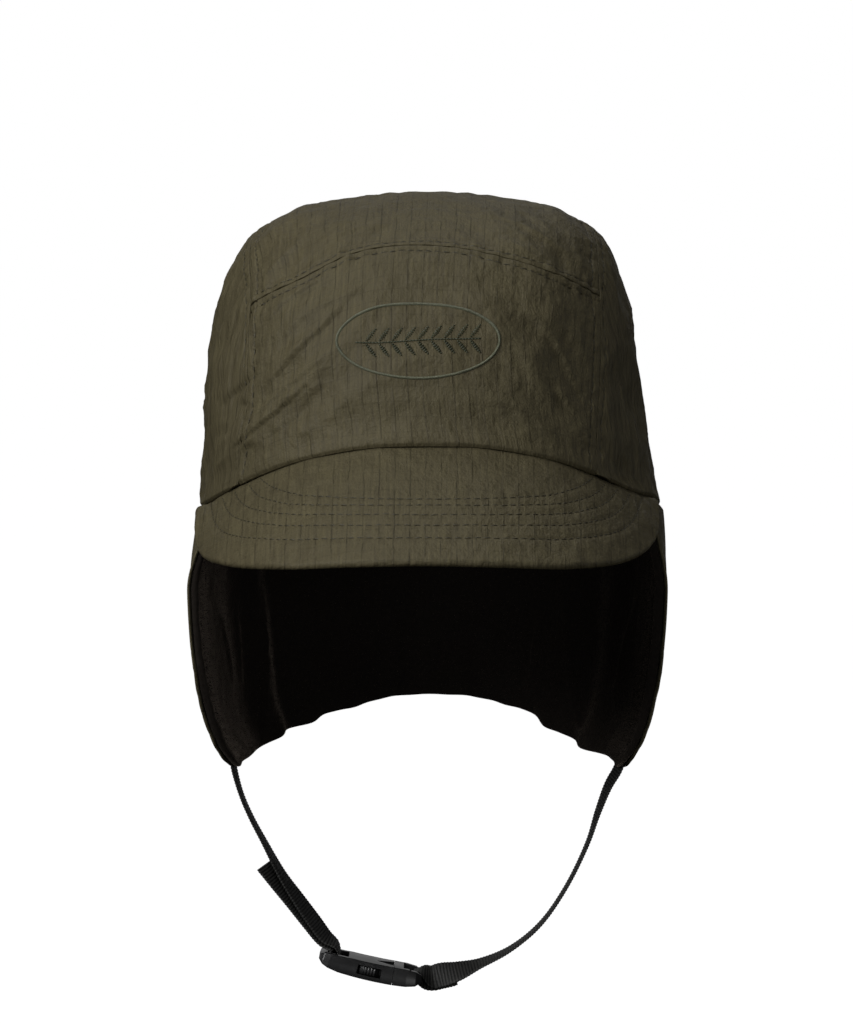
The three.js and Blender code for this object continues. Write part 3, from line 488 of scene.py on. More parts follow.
def flap_point(angle, drop, depth):
    """Place on the earflap: angle round from the back, drop from the crown's hem (0) to the
    flap's lower edge (1). In front of the ears it runs straight, curled in only at its top."""
    top = hem_height(180 - np.abs(angle), angle) - SEAM_GAP
    bottom = np.where(angle < 0, flap_edge_left(-angle), flap_edge_right(angle))
    z = top + (bottom - top) * drop
    rise = np.zeros(z.shape)
    for fold_angle, width, height in zip(*FLAP_FOLDS.values()):
        rise = rise + height * bump(angle - fold_angle, width)
    rise = rise * np.sin(np.pi / 2 * np.minimum(drop / FOLD_FULL_DROP, 1))
    ripple = np.cos(2 * np.pi * np.radians(angle) * HEAD["back"] / GATHER["pitch"])
    at_nape = np.maximum(1 - (angle / GATHER["half_angle"]) ** 2, 0)
    rise = rise + GATHER["depth"] * ripple * at_nape * np.exp(-(z - bottom) / GATHER["fade_height"])
    turn = np.radians(angle)
    power = 2 / FLAP["roundness"]
    round_side = np.sign(angle) * np.abs(np.sin(turn)) ** power
    curl = smoothstep(z, FLAP["straight_below"], FLAP["curled_above"])
    straight = np.sign(angle) + (round_side - np.sign(angle)) * curl
    sideways = np.where(np.abs(angle) > 90, straight, round_side)
    x = (flap_half_width(z) + rise - depth) * sideways + CROWN_LEAN["hem"] * curl
    y = (flap_back(z) + rise - depth) * np.sign(np.cos(turn)) * np.abs(np.cos(turn)) ** power
    return points(x, y, z)


# Meshes

def quad_mesh(name, vertices, quads, uvs=None, slots=None):
    """Smooth-shaded object from vertices in millimetres and quads of their numbers. uvs are
    millimetres along the cloth for each vertex, slots the material number of each quad."""
    mesh = bpy.data.meshes.new(name)
    mesh.vertices.add(len(vertices))
    mesh.vertices.foreach_set("co", (vertices * MM).astype(np.float32).ravel())
    mesh.loops.add(quads.size)
    mesh.loops.foreach_set("vertex_index", quads.astype(np.int32).ravel())
    mesh.polygons.add(len(quads))
    mesh.polygons.foreach_set("loop_start", np.arange(0, quads.size, 4, dtype=np.int32))
    if slots is not None:
        mesh.polygons.foreach_set("material_index", slots.astype(np.int32))
    mesh.update(calc_edges=True)
    if uvs is not None:
        layer = mesh.uv_layers.new(name="cloth_mm")
        layer.data.foreach_set("uv", uvs[quads.ravel()].astype(np.float32).ravel())
    mesh.polygons.foreach_set("use_smooth", np.ones(len(quads), bool))
    obj = bpy.data.objects.new(name, mesh)
    bpy.context.scene.collection.objects.link(obj)
    return obj


def grid_quads(rows, columns, first=0):
    """Quads between neighbouring rows and columns of a grid of vertex numbers."""
    number = first + np.arange(rows * columns).reshape(rows, columns)
    corners = [number[:-1, :-1], number[:-1, 1:], number[1:, 1:], number[1:, :-1]]
    return np.stack(corners, -1).reshape(-1, 4)


def merge_corners(obj):
    """Joins vertices that lie in one place, which closes edges, poles and pinched corners, and
    turns all faces outwards."""
    form = bmesh.new()
    form.from_mesh(obj.data)
    bmesh.ops.remove_doubles(form, verts=form.verts, dist=1e-6)
    bmesh.ops.dissolve_degenerate(form, edges=form.edges, dist=1e-7)
    bmesh.ops.recalc_face_normals(form, faces=form.faces)
    form.to_mesh(obj.data)
    form.free()
    return obj


def two_faced(name, outer, inner, uvs):
    """Closed piece between an outer and an inner grid that meet along all four edges. The
    inner face takes the second material."""
    rows, columns = outer.shape[:2]
    vertices = np.concatenate([outer.reshape(-1, 3), inner.reshape(-1, 3)])
    front = grid_quads(rows, columns)
    back = grid_quads(rows, columns, rows * columns)[:, ::-1]
    both_uvs = np.tile(uvs.reshape(-1, 2), (2, 1))
    slots = np.repeat([0, 1], len(front))
    return merge_corners(quad_mesh(name, vertices, np.concatenate([front, back]), both_uvs, slots))


def capped(name, rings):
    """Closed piece from a grid of rings, with both ends closed to their middles."""
    first, last = [np.broadcast_to(rings[k].mean(0), rings[k].shape)[None] for k in (0, -1)]
    whole = np.concatenate([first, rings, last])
    return merge_corners(quad_mesh(name, whole.reshape(-1, 3), grid_quads(*whole.shape[:2])))


def pillow(distance, half_thickness):
    """Share of the full thickness near an edge: a quarter circle, 0 on the edge itself."""
    t = np.clip(distance / half_thickness, 0, 1)
    return np.sqrt(np.maximum(1 - (1 - t) ** 2, 0))


def cloth_uvs(grid):
    """Millimetres along the cloth: across each row from its middle, and up the middle column."""
    middle = grid.shape[1] // 2
    across = row_arcs(grid)
    across = across - across[:, middle:middle + 1]
    up = np.broadcast_to(column_arcs(grid)[:, middle:middle + 1], across.shape)
    return np.stack([across, up], -1)


class Patch:
    """Finished outer face of a piece, which threads are laid on: its places and normals on a
    grid of two parameters. A piece that is stitched along its edges adds its distances from
    them."""

    def __init__(self, rows, columns, places, normals):
        self.rows = rows
        self.columns = columns
        self.places = places
        self.normals = normals

    def at(self, row, column):
        """Place and normal at any row and column number, read straight between grid points."""
        i = np.clip(np.floor(row).astype(int), 0, self.places.shape[0] - 2)
        j = np.clip(np.floor(column).astype(int), 0, self.places.shape[1] - 2)
        a = (row - i)[..., None]
        b = (column - j)[..., None]

        def read(values):
            near = values[i, j] * (1 - b) + values[i, j + 1] * b
            far = values[i + 1, j] * (1 - b) + values[i + 1, j + 1] * b
            return near * (1 - a) + far * a

        return read(self.places), unit(read(self.normals))

    def at_parameters(self, row_value, column_value):
        """Place and normal where the two parameters have these values."""
        row = np.interp(row_value, self.rows, np.arange(len(self.rows)))
        column = np.interp(column_value, self.columns, np.arange(len(self.columns)))
        return self.at(row, column)


def plain_seam(distance):
    """Dip of the cloth into a seam that has no topstitching: one bell."""
    return -PLAIN_DIP["depth"] * bump(distance, PLAIN_DIP["width"])


def stitched_seam(distance, along, seed, from_seam=TOPSTITCH["side_seam"]):
    """Shape of the cloth beside a topstitched seam, as the sum of three bells: it dips into the
    seam, is pulled in along its stitches, and puckers there by random hills."""
    pull = hills(np.stack([along, 0.3 * distance], -1), PUCKER["pitch"], seed)
    pucker = PUCKER["height"] * pull * bump(distance - from_seam, PUCKER["width"])
    groove = -GROOVE["depth"] * bump(distance - from_seam, GROOVE["width"])
    return -SEAM_DIP["depth"] * bump(distance, SEAM_DIP["width"]) + groove + pucker


def finish_cloth(name, point_at, wall, relief, uvs, outward, half=None):
    """Closed cloth with rounded edges: its faces lie half the wall either side of its middle,
    less within a half of an edge, and the relief moves both."""
    middle = wall / 2
    base = point_at(np.zeros(relief.shape))
    edge = np.minimum(
        np.minimum(row_arcs(base), row_arcs(base[:, ::-1])[:, ::-1]),
        np.minimum(column_arcs(base), column_arcs(base[::-1])[::-1]),
    )
    share = pillow(edge, half or middle)
    normals = grid_normals(base, outward(base))
    outer = point_at(middle - middle * share) + normals * relief[..., None]
    inner = point_at(middle + middle * share) + normals * relief[..., None]
    piece = two_faced(name, outer, inner, uvs)
    return piece, outer, grid_normals(outer, outward(base))


def away_from_head(places):
    """Direction away from the middle of the head, for telling the outside of the crown."""
    return places - np.array([0, 0, 10.0])


# Crown

PANEL_STEPS = {"across": 170, "front": 140, "top": 200, "side": 260, "down": 96}

# Degrees over the head that the edges at the top seam lean back for each millimetre of depth,
# so that nobody sees straight through the seam
TOP_SEAM_LEAN = 0.35

# The hem allowance swells the cloth a little above the hem, and the rumples fade out this
# close to an edge
HEM_SWELL = {"above": 3.5, "height": 0.5, "width": 2.5}
SMOOTH_EDGE = 6

# Creases fade out behind the front between these depths, and all relief of a side panel where
# its rows get this short
CREASED_FRONT = (-5, 25)
SHORT_ROW = (6, 16)


def strip_panel(name, part):
    """Front or top panel of the middle strip. Its relief is the seams' along its sides and at
    the seam over the head, the creases, and soft hills of the handled cloth."""
    seed = SEEDS[part]
    is_front = part == "front"
    ups = fine_at_ends(PANEL_STEPS[part])
    sides = fine_at_ends(PANEL_STEPS["across"]) * 2 - 1
    up, side = np.meshgrid(ups, sides, indexing="ij")
    seam_angle = top_seam_angle(side)
    gap = math.degrees(PANEL_GAP / 2 / HEAD["front"])
    start = 0 if is_front else seam_angle + gap
    end = seam_angle - gap if is_front else 180
    angle = start + (end - start) * up
    base = strip_point(side, angle, 0)
    across = row_arcs(base)
    from_right = across[:, -1:] - across
    up_arc = column_arcs(base)
    from_top = up_arc[-1:] - up_arc
    over_seam = from_top if is_front else up_arc
    hem = up_arc if is_front else from_top
    relief = stitched_seam(across, up_arc, seed) + stitched_seam(from_right, up_arc, seed + 1)
    relief += stitched_seam(over_seam, across, seed + 2, TOPSTITCH["top_seam"])
    relief += plain_seam(hem) + HEM_SWELL["height"] * bump(hem - HEM_SWELL["above"], HEM_SWELL["width"])
    relief += crease_relief(base) * facing_front(base)
    inside = np.minimum(np.minimum(across, from_right), np.minimum(up_arc, from_top))
    relief += rumples(base, seed + 4) * smoothstep(inside, 0, SMOOTH_EDGE)
    lean = TOP_SEAM_LEAN * bump(over_seam, 4)
    piece, outer, normals = finish_cloth(
        name, lambda depth: strip_point(side, angle + lean * depth, depth), CLOTH_WALL, relief,
        cloth_uvs(base), away_from_head, SEAM_ROUND)
    patch = Patch(ups, sides, outer, normals)
    patch.across = across
    patch.up_arc = up_arc
    return piece, patch


def facing_front(places):
    """1 on what faces the viewer, fading to 0 on the back half of the crown."""
    return 1 - smoothstep(places[..., 1], *CREASED_FRONT)


def side_panel(name, sign, seed):
    """Side panel of the crown: rows follow its seam over the head, columns go down to the hem."""
    angles = fine_at_ends(PANEL_STEPS["side"], 0.5) * 180
    downs = fine_at_ends(PANEL_STEPS["down"])
    angle, down = np.meshgrid(angles, downs, indexing="ij")
    base = side_point(sign, angle, down, 0)
    from_seam = row_arcs(base)
    to_hem = from_seam[:, -1:] - from_seam
    along = column_arcs(base)
    length = from_seam[:, -1:]
    roomy = smoothstep(length, *SHORT_ROW)
    relief = stitched_seam(from_seam, along, seed) * roomy
    relief += plain_seam(to_hem) * roomy
    relief += crease_relief(base) * facing_front(base) * roomy
    inside = np.minimum(from_seam, to_hem)
    relief += rumples(base, seed + 4) * roomy * smoothstep(inside, 0, SMOOTH_EDGE)
    uvs = np.stack([base[..., 1], from_seam], -1)
    piece, outer, normals = finish_cloth(
        name, lambda depth: side_point(sign, angle, down, depth), CLOTH_WALL, relief, uvs,
        away_from_head, SEAM_ROUND)
    patch = Patch(angles, downs, outer, normals)
    patch.from_seam = from_seam
    return piece, patch


# Peak

PEAK_STEPS = {"across": 300, "out": 96, "edge": 12, "under": 40}

# Finish of the peak's cover: groove and pucker along the rows of stitches, the swell beyond
# the last row, its share of the crown's rumples, and how its edge and its ends are rounded
PEAK_GROOVE = {"depth": 0.32, "width": 0.55}
PEAK_PUCKER = {"pitch": 6, "height": 0.1, "width": 2.6}
PEAK_SWELL = 0.35
PEAK_RUMPLES = 0.4
PEAK_ROUND = {"edge_extra": 0.3, "ends": 2.4}


def peak_row(index, side):
    """How far out a row of stitches runs at each side value: it bows towards the crown and
    turns up to meet it at both ends."""
    end = np.where(side < 0, PEAK_ROWS["left"][index], PEAK_ROWS["right"][index])
    turned = 1 - np.minimum(np.abs(side) / end, 1) ** 7
    return PEAK_ROWS["out"][index] * (1 - PEAK_ROWS["bow"][index] * side ** 2) * turned


def peak_piece():
    """Peak with a rolled edge: its upper face, a half ellipse round the edge, and its underside,
    a thickness lower. The thickness closes up at both ends."""
    sides = fine_at_ends(PEAK_STEPS["across"], 0.6) * 2 - 1
    outs = fine_at_ends(PEAK_STEPS["out"], 0.5)
    side, out = np.meshgrid(sides, outs, indexing="ij")
    top = peak_point(side, out)
    up = grid_normals(top, UP)
    length = row_arcs(top)[:, -1:]
    along = column_arcs(top)
    relief = np.zeros(top.shape[:2])
    for index in range(len(PEAK_ROWS["out"])):
        row_out = peak_row(index, side)
        away = (out - row_out) * length
        inside = smoothstep(row_out * length, 2, 8)
        places = np.stack([along, 0.3 * away], -1)
        pull = hills(places, PEAK_PUCKER["pitch"], SEEDS["peak"] + index)
        groove = -PEAK_GROOVE["depth"] * bump(away, PEAK_GROOVE["width"])
        pucker = PEAK_PUCKER["height"] * pull * bump(away, PEAK_PUCKER["width"])
        relief += inside * (groove + pucker)
    last = (out - peak_row(len(PEAK_ROWS["out"]) - 1, side)) * length
    relief += PEAK_SWELL * smoothstep(last, 0.4, 3.5)
    relief += crease_relief(top)
    relief += PEAK_RUMPLES * rumples(top, SEEDS["peak"] + 8)
    upper = top + up * relief[..., None]

    to_end = np.minimum(along, along[-1:] - along)[:, -1:, None]
    closing = pillow(to_end, PEAK_ROUND["ends"])
    half = PEAK["thickness"] / 2 * closing
    centre = top[:, -1:] - up[:, -1:] * half
    outward = unit(top[:, -1:] - top[:, -2:-1])
    turn = np.linspace(0, np.pi, PEAK_STEPS["edge"] + 2)[1:-1][None, :, None]
    lift = relief[:, -1:, None] * np.cos(turn / 2) ** 2
    round_out = (PEAK["edge_round"] + PEAK_ROUND["edge_extra"]) * closing
    rise = half * np.cos(turn) + lift
    rolled = centre + up[:, -1:] * rise + outward * round_out * np.sin(turn)
    under_outs = fine_at_ends(PEAK_STEPS["under"], 0.3)[::-1]
    under_side, under_out = np.meshgrid(sides, under_outs, indexing="ij")
    under_top = peak_point(under_side, under_out)
    under = under_top - grid_normals(under_top, UP) * 2 * half
    whole = np.concatenate([upper, rolled, under, upper[:, :1]], 1)
    uvs = np.stack([whole[..., 0], row_arcs(whole)], -1)
    quads = grid_quads(*whole.shape[:2])
    is_under = np.zeros((len(sides) - 1, whole.shape[1] - 1), int)
    is_under[:, len(outs) + PEAK_STEPS["edge"] - 1:] = 1
    piece = quad_mesh(
        "peak_cover", whole.reshape(-1, 3), quads, uvs.reshape(-1, 2), is_under.ravel())
    return merge_corners(piece), Patch(sides, outs, upper, grid_normals(upper, UP))


# Earflap

FLAP_STEPS = {"round": 330, "down": 84}

# Finish of the shell: groove and pucker along its row of stitches, soft hills, and the most
# that it may stand out
SHELL_GROOVE = {"depth": 0.25, "width": 0.6}
SHELL_PUCKER = {"pitch": 9, "height": 0.25, "width": 7}
SHELL_HILLS = {"pitch": 24, "height": 0.2}
SHELL_MOST = 0.4

# Finish of the lining: its full edge, broad and small hills of the fleece, how deep its folds
# are drawn, and the least and most that all this moves it
LINING_PUFF = {"inside": 4.5, "height": 0.5, "width": 3.0}
LINING_HILLS = {"broad": (30, 0.35), "small": (8, 0.12)}
LINING_FOLDS = 1.6
LINING_RANGE = (-3.0, 0.6)


def flap_grid():
    """Angles round the flap and drops down it, closer together near its edges."""
    angles = (fine_at_ends(FLAP_STEPS["round"], 0.6) * 2 - 1) * FLAP["end_angle"]
    drops = fine_at_ends(FLAP_STEPS["down"])
    return angles, drops, *np.meshgrid(angles, drops, indexing="ij")


def flap_outward(places):
    """Direction away from the middle line of the head, level."""
    return places * np.array([1, 1, 0]) + np.array([0, 1e-3, 0])


def flap_shell():
    """Outer cloth of the earflap, with a stitched hem and the crown's soft hills."""
    angles, drops, angle, drop = flap_grid()
    base = flap_point(angle, drop, 0)
    from_top = row_arcs(base)
    to_bottom = from_top[:, -1:] - from_top
    along = column_arcs(base)
    relief = plain_seam(from_top)
    places = np.stack([along, 0.3 * to_bottom], -1)
    pull = hills(places, SHELL_PUCKER["pitch"], SEEDS["flap"] + 1)
    groove = -SHELL_GROOVE["depth"] * bump(to_bottom - HEM_ROW, SHELL_GROOVE["width"])
    pucker = SHELL_PUCKER["height"] * pull * bump(to_bottom - (HEM_ROW - 1), SHELL_PUCKER["width"])
    relief += groove + pucker
    stretched = base * np.array([1, 1, 0.5])
    relief += SHELL_HILLS["height"] * hills(stretched, SHELL_HILLS["pitch"], SEEDS["flap"] + 2)
    to_side = np.minimum(along, along[-1:] - along)
    relief = np.minimum(relief, SHELL_MOST) * smoothstep(to_side, 0, 4)
    uvs = np.stack([along - along[len(along) // 2], from_top], -1)
    piece, outer, normals = finish_cloth(
        "flap_shell_cloth", lambda depth: flap_point(angle, drop, depth), SHELL_WALL, relief, uvs,
        flap_outward)
    patch = Patch(angles, drops, outer, normals)
    patch.from_top = from_top
    return piece, patch


def flap_lining():
    """Fleece lining: a thick soft layer inside the shell, full and rounded at its edges, with
    folds and shallow hills of its own."""
    angles, drops, angle, drop = flap_grid()
    start = SHELL_WALL + SEAM_GAP
    half = FLEECE_WALL / 2
    base = flap_point(angle, drop, start + FLEECE_WALL)
    from_top = row_arcs(base)
    along = column_arcs(base)
    edge = np.minimum(from_top[:, -1:] - from_top, np.minimum(along, along[-1:] - along))
    puff = LINING_PUFF["height"] * bump(edge - LINING_PUFF["inside"], LINING_PUFF["width"])
    pitch, height = LINING_HILLS["broad"]
    relief = -puff + height * hills(base * np.array([1, 1, 0.35]), pitch, SEEDS["lining"])
    pitch, height = LINING_HILLS["small"]
    relief += height * hills(base, pitch, SEEDS["lining"] + 1)
    relief -= LINING_FOLDS * crease_relief(base, FLEECE_FOLDS)
    edge = np.minimum(edge, from_top)
    relief = np.clip(relief * smoothstep(edge, 0.0, 2.5), *LINING_RANGE)
    share = pillow(edge, half)
    normals = grid_normals(base, flap_outward(base))
    middle = start + half
    outer = flap_point(angle, drop, middle - half * share)
    inner = flap_point(angle, drop, middle + half * share) + normals * relief[..., None]
    uvs = np.stack([along, from_top], -1)
    piece = two_faced("flap_lining_fleece", outer, inner, uvs)
    return piece, Patch(angles, drops, inner, -grid_normals(inner, flap_outward(base)))


# Threads

def thread_quads(count, rings, sides):
    """Quads of many short threads: the walls between their rings, and two quads that close the
    six sides of each end."""
    ring = np.arange(sides)
    after = (ring + 1) % sides
    last = (rings - 1) * sides
    walls = []
    for here in range(0, last, sides):
        there = here + sides
        walls.append(np.stack([here + ring, here + after, there + after, there + ring], -1))
    caps = np.array([[0, 3, 2, 1], [0, 5, 4, 3], [last, last + 1, last + 2, last + 3],
                     [last, last + 3, last + 4, last + 5]])
    one = np.concatenate([*walls, caps])
    return (np.arange(count)[:, None, None] * rings * sides + one).reshape(-1, 4)


THREAD_RINGS = np.array([-1.0, -0.72, 0.0, 0.72, 1.0])
THREAD_SIDES = 6

# How high a stitch bows, for each millimetre of its radius, and how far from the corners of
# its panel a row of stitches ends
STITCH_BOW = 0.9
ROW_ENDS = {"side_seam": 2, "top_seam": 5, "side_panel": 12}


def threads(starts, ends, normals, radius, height):
    """Vertices of short threads from starts to ends: each bows up from the cloth by a height,
    thins at both ends and dives into the cloth there."""
    t = THREAD_RINGS[None, :, None]
    middle = starts[:, None] * (1 - t) / 2 + ends[:, None] * (1 + t) / 2
    rise = height * (1 - t ** 2) - radius * 0.8 * np.abs(t) ** 3
    centre = middle + normals[:, None] * rise
    along = unit(ends - starts)
    across = unit(np.cross(along, normals))
    thick = radius * (1 - 0.45 * np.abs(THREAD_RINGS) ** 3)[None, :, None, None]
    turn = np.arange(THREAD_SIDES) * 2 * np.pi / THREAD_SIDES
    ring = (across[:, None, None] * np.cos(turn)[:, None]
            + normals[:, None, None] * np.sin(turn)[:, None])
    return (centre[:, :, None] + ring * thick).reshape(-1, 3)


def thread_piece(name, batches):
    """One piece from several batches of (starts, ends, normals, radius, height)."""
    vertices = np.concatenate([threads(*batch) for batch in batches])
    count = sum(len(batch[0]) for batch in batches)
    return quad_mesh(name, vertices, thread_quads(count, len(THREAD_RINGS), THREAD_SIDES))


def stitch_line(places, normals, style):
    """Batch for a run of stitches along a line of places: as many as fit at their pitch."""
    steps = np.linalg.norm(np.diff(places, axis=0), axis=-1)
    arc = np.r_[0, np.cumsum(steps)]
    count = int(arc[-1] // style["pitch"])
    centre = (np.arange(count) + 0.5) * arc[-1] / count
    half = (style["pitch"] - style["gap"]) / 2

    def read(values, at):
        return np.stack([np.interp(at, arc, values[:, k]) for k in range(3)], -1)

    return (read(places, centre - half), read(places, centre + half), unit(read(normals, centre)),
            style["radius"], style["radius"] * STITCH_BOW)


def column_where(arcs, wanted):
    """Column number at which each row of arcs reaches a wanted distance."""
    after = np.clip((arcs < wanted).sum(1), 1, arcs.shape[1] - 1)
    row = np.arange(len(arcs))
    low = arcs[row, after - 1]
    high = arcs[row, after]
    return after - 1 + np.clip((wanted - low) / np.maximum(high - low, 1e-9), 0, 1)


def topstitching(front, top, sides):
    """Twin rows of stitches on either side of every seam of the crown."""
    off = TOPSTITCH["side_seam"]
    batches = []
    for patch in (front, top):
        row = np.arange(len(patch.rows), dtype=float)
        up_arc = patch.up_arc[:, 0]
        inside = np.minimum(up_arc, up_arc[-1] - up_arc) > ROW_ENDS["side_seam"]
        for arcs, mirrored in ((patch.across, False), (patch.across[:, -1:] - patch.across, True)):
            column = column_where(arcs[:, ::-1] if mirrored else arcs, off)
            column = len(patch.columns) - 1 - column if mirrored else column
            batches.append(stitch_line(*patch.at(row[inside], column[inside]), TOPSTITCH))
    for patch, arcs in ((front, (front.up_arc[-1:] - front.up_arc)[::-1]), (top, top.up_arc)):
        row = column_where(arcs.T, TOPSTITCH["top_seam"])
        row = len(patch.rows) - 1 - row if patch is front else row
        column = np.arange(len(patch.columns), dtype=float)
        across = patch.across[0]
        inside = np.minimum(across, across[-1] - across) > ROW_ENDS["top_seam"]
        batches.append(stitch_line(*patch.at(row[inside], column[inside]), TOPSTITCH))
    for patch in sides:
        row = np.arange(len(patch.rows), dtype=float)
        inside = patch.from_seam[:, -1] > ROW_ENDS["side_panel"]
        column = column_where(patch.from_seam, off)
        batches.append(stitch_line(*patch.at(row[inside], column[inside]), TOPSTITCH))
    return thread_piece("crown_topstitching", batches)


def peak_stitching(patch):
    """The five rows of stitches on the peak, which end a little before they meet the crown."""
    batches = []
    for index in range(len(PEAK_ROWS["out"])):
        left = -0.97 * PEAK_ROWS["left"][index]
        right = 0.97 * PEAK_ROWS["right"][index]
        side = np.linspace(left, right, 400)
        batches.append(stitch_line(*patch.at_parameters(side, peak_row(index, side)), PEAK_STITCH))
    return thread_piece("peak_stitching", batches)


def flap_stitching(patch):
    """Row of stitches along the lower edge of the earflap's shell, short of its front edges."""
    to_bottom = (patch.from_top[:, -1:] - patch.from_top)[:, ::-1]
    column = len(patch.columns) - 1 - column_where(to_bottom, HEM_ROW)
    row = np.arange(len(patch.rows), dtype=float)
    inside = np.abs(patch.rows) < 100
    batch = stitch_line(*patch.at(row[inside], column[inside]), TOPSTITCH)
    return thread_piece("flap_hem_stitching", [batch])


# Embroidery

def front_at(patch, x, height):
    """Place and normal on the front panel that the viewer sees at x and height, found by a few
    Newton steps on the panel's two parameters."""
    side = x / 62
    angle = np.full(x.shape, 28.0)
    small = 0.01
    for _ in range(12):
        here = in_view(strip_point(side, angle, 0))
        by_side = (in_view(strip_point(side + small, angle, 0)) - here) / small
        by_angle = (in_view(strip_point(side, angle + small, 0)) - here) / small
        miss = np.stack([x, height], -1) - here
        det = by_side[..., 0] * by_angle[..., 1] - by_side[..., 1] * by_angle[..., 0]
        side = side + (miss[..., 0] * by_angle[..., 1] - miss[..., 1] * by_angle[..., 0]) / det
        angle = angle + (miss[..., 1] * by_side[..., 0] - miss[..., 0] * by_side[..., 1]) / det
    return patch.at_parameters(angle / top_seam_angle(side), side)


def satin(patch, x, height, across_x, across_height, radius, lift):
    """Batch of satin threads centred at x and height, each reaching half across either way."""
    start, start_normal = front_at(patch, x - across_x / 2, height - across_height / 2)
    end, _ = front_at(patch, x + across_x / 2, height + across_height / 2)
    return start, end, start_normal, radius, lift


def oval_ring(patch):
    """Embroidered oval: satin threads laid slantwise across a narrow band all the way round."""
    turn = np.linspace(0, 2 * np.pi, 2001)
    x = RING["half_width"] * np.cos(turn)
    height = RING["half_height"] * np.sin(turn)
    arc = np.r_[0, np.cumsum(np.hypot(np.diff(x), np.diff(height)))]
    count = int(arc[-1] / SATIN["pitch"])
    turn = np.interp((np.arange(count) + 0.5) * arc[-1] / count, arc, turn)
    out_x = np.cos(turn) * RING["half_height"]
    out_height = np.sin(turn) * RING["half_width"]
    size = np.hypot(out_x, out_height)
    out_x = out_x / size
    out_height = out_height / size
    way_x = (out_x - SATIN["slant"] * out_height) * RING["band"]
    way_height = (out_height + SATIN["slant"] * out_x) * RING["band"]
    x = RING["x"] + RING["half_width"] * np.cos(turn)
    height = RING["height"] + RING["half_height"] * np.sin(turn)
    batch = satin(patch, x, height, way_x, way_height, SATIN["radius"], SATIN["lift"])
    return thread_piece("embroidered_oval", [batch])


def leaf_sprig(patch):
    """Embroidered sprig inside the oval: a stem that sways by a sine, with pairs of small
    leaves, each a few satin threads whose length follows half a sine."""
    def stem_height(x):
        return RING["height"] + SPRIG["sway"] * np.sin(x / SPRIG["sway_length"])

    stem = np.linspace(-SPRIG["half_length"], SPRIG["half_length"], STEM["threads"])
    length = np.full(STEM["threads"], STEM["length"])
    batches = [satin(
        patch, RING["x"] + stem, stem_height(stem), length, 0 * length, STEM["radius"], STEM["lift"])]
    places = np.linspace(-0.86, 0.86, LEAF["pairs"]) * SPRIG["half_length"]
    share = (np.arange(LEAF["threads"]) + 0.5) / LEAF["threads"]
    root, part = [values.ravel() for values in np.meshgrid(places, share, indexing="ij")]
    along = part * LEAF["length"]
    width = LEAF["width"] * np.sin(np.pi * (0.12 + 0.8 * part))
    slope = math.radians(LEAF["slope"])
    x = RING["x"] + root + along * math.cos(slope)
    for way in (-1, 1):
        height = stem_height(root) + way * (LEAF["from_stem"] + along * math.sin(slope))
        batches.append(satin(
            patch, x, height, -way * width * math.sin(slope), width * math.cos(slope),
            LEAF["radius"], LEAF["lift"]))
    return thread_piece("embroidered_sprig", batches)


# Chin strap

LEFT_STRAP = table("x z turn", [
    (-72.1, -98.6, 6), (-71.6, -102.6, 6), (-68.9, -112.5, 3), (-65.3, -121.0, 3), (-60.6, -130.0, 5),
    (-53.9, -142.5, 12), (-47.6, -152.0, 21), (-41.9, -160.1, 25), (-37.9, -165.4, 22),
])
RIGHT_STRAP = table("x z turn", [
    (71.6, -98.8, -14), (69.9, -103.2, -14), (66.6, -109.0, -12), (62.7, -119.1, -7), (59.0, -130.4, -2),
    (50.8, -147.4, 0), (41.2, -161.1, 0), (30.2, -170.2, -2), (19.0, -175.6, -12),
    (10.5, -178.6, -38), (5.0, -179.8, -56),
])
SOCKET_BAR = {"along": 5.2, "level": -1.2, "radius": 1.1}
PLUG_BAR = {"along": 37.4, "level": 0.0, "radius": 1.1}
APPROACH = {"left_height": 4.4, "left_turn": 6, "right_turn": -46}
TAIL = {"length": 46.0, "lift": 2.5, "turn": 26.0}
STITCHED_LENGTH = 14.0
LAYER_PITCH = STRAP["thickness"] + SEAM_GAP
RIB = {"pitch": 1.15, "depth": 0.34, "steps": 4}


def on_buckle(along, across, height):
    """Place of a point of the straight buckle once it is bent: its middle line's slope goes
    evenly from the start slope to the end slope."""
    along, across, height = np.broadcast_arrays(
        np.asarray(along, float), np.asarray(across, float), np.asarray(height, float),
    )
    start = math.radians(BUCKLE["start_slope"])
    rate = math.radians(BUCKLE["end_slope"] - BUCKLE["start_slope"]) / BUCKLE["length"]
    slope = start + rate * along
    x = BUCKLE["left"][0] + (np.sin(slope) - math.sin(start)) / rate
    z = BUCKLE["left"][1] + (np.cos(slope) - math.cos(start)) / rate
    return points(x + np.sin(slope) * height, BUCKLE["depth"] + across, z + np.cos(slope) * height)


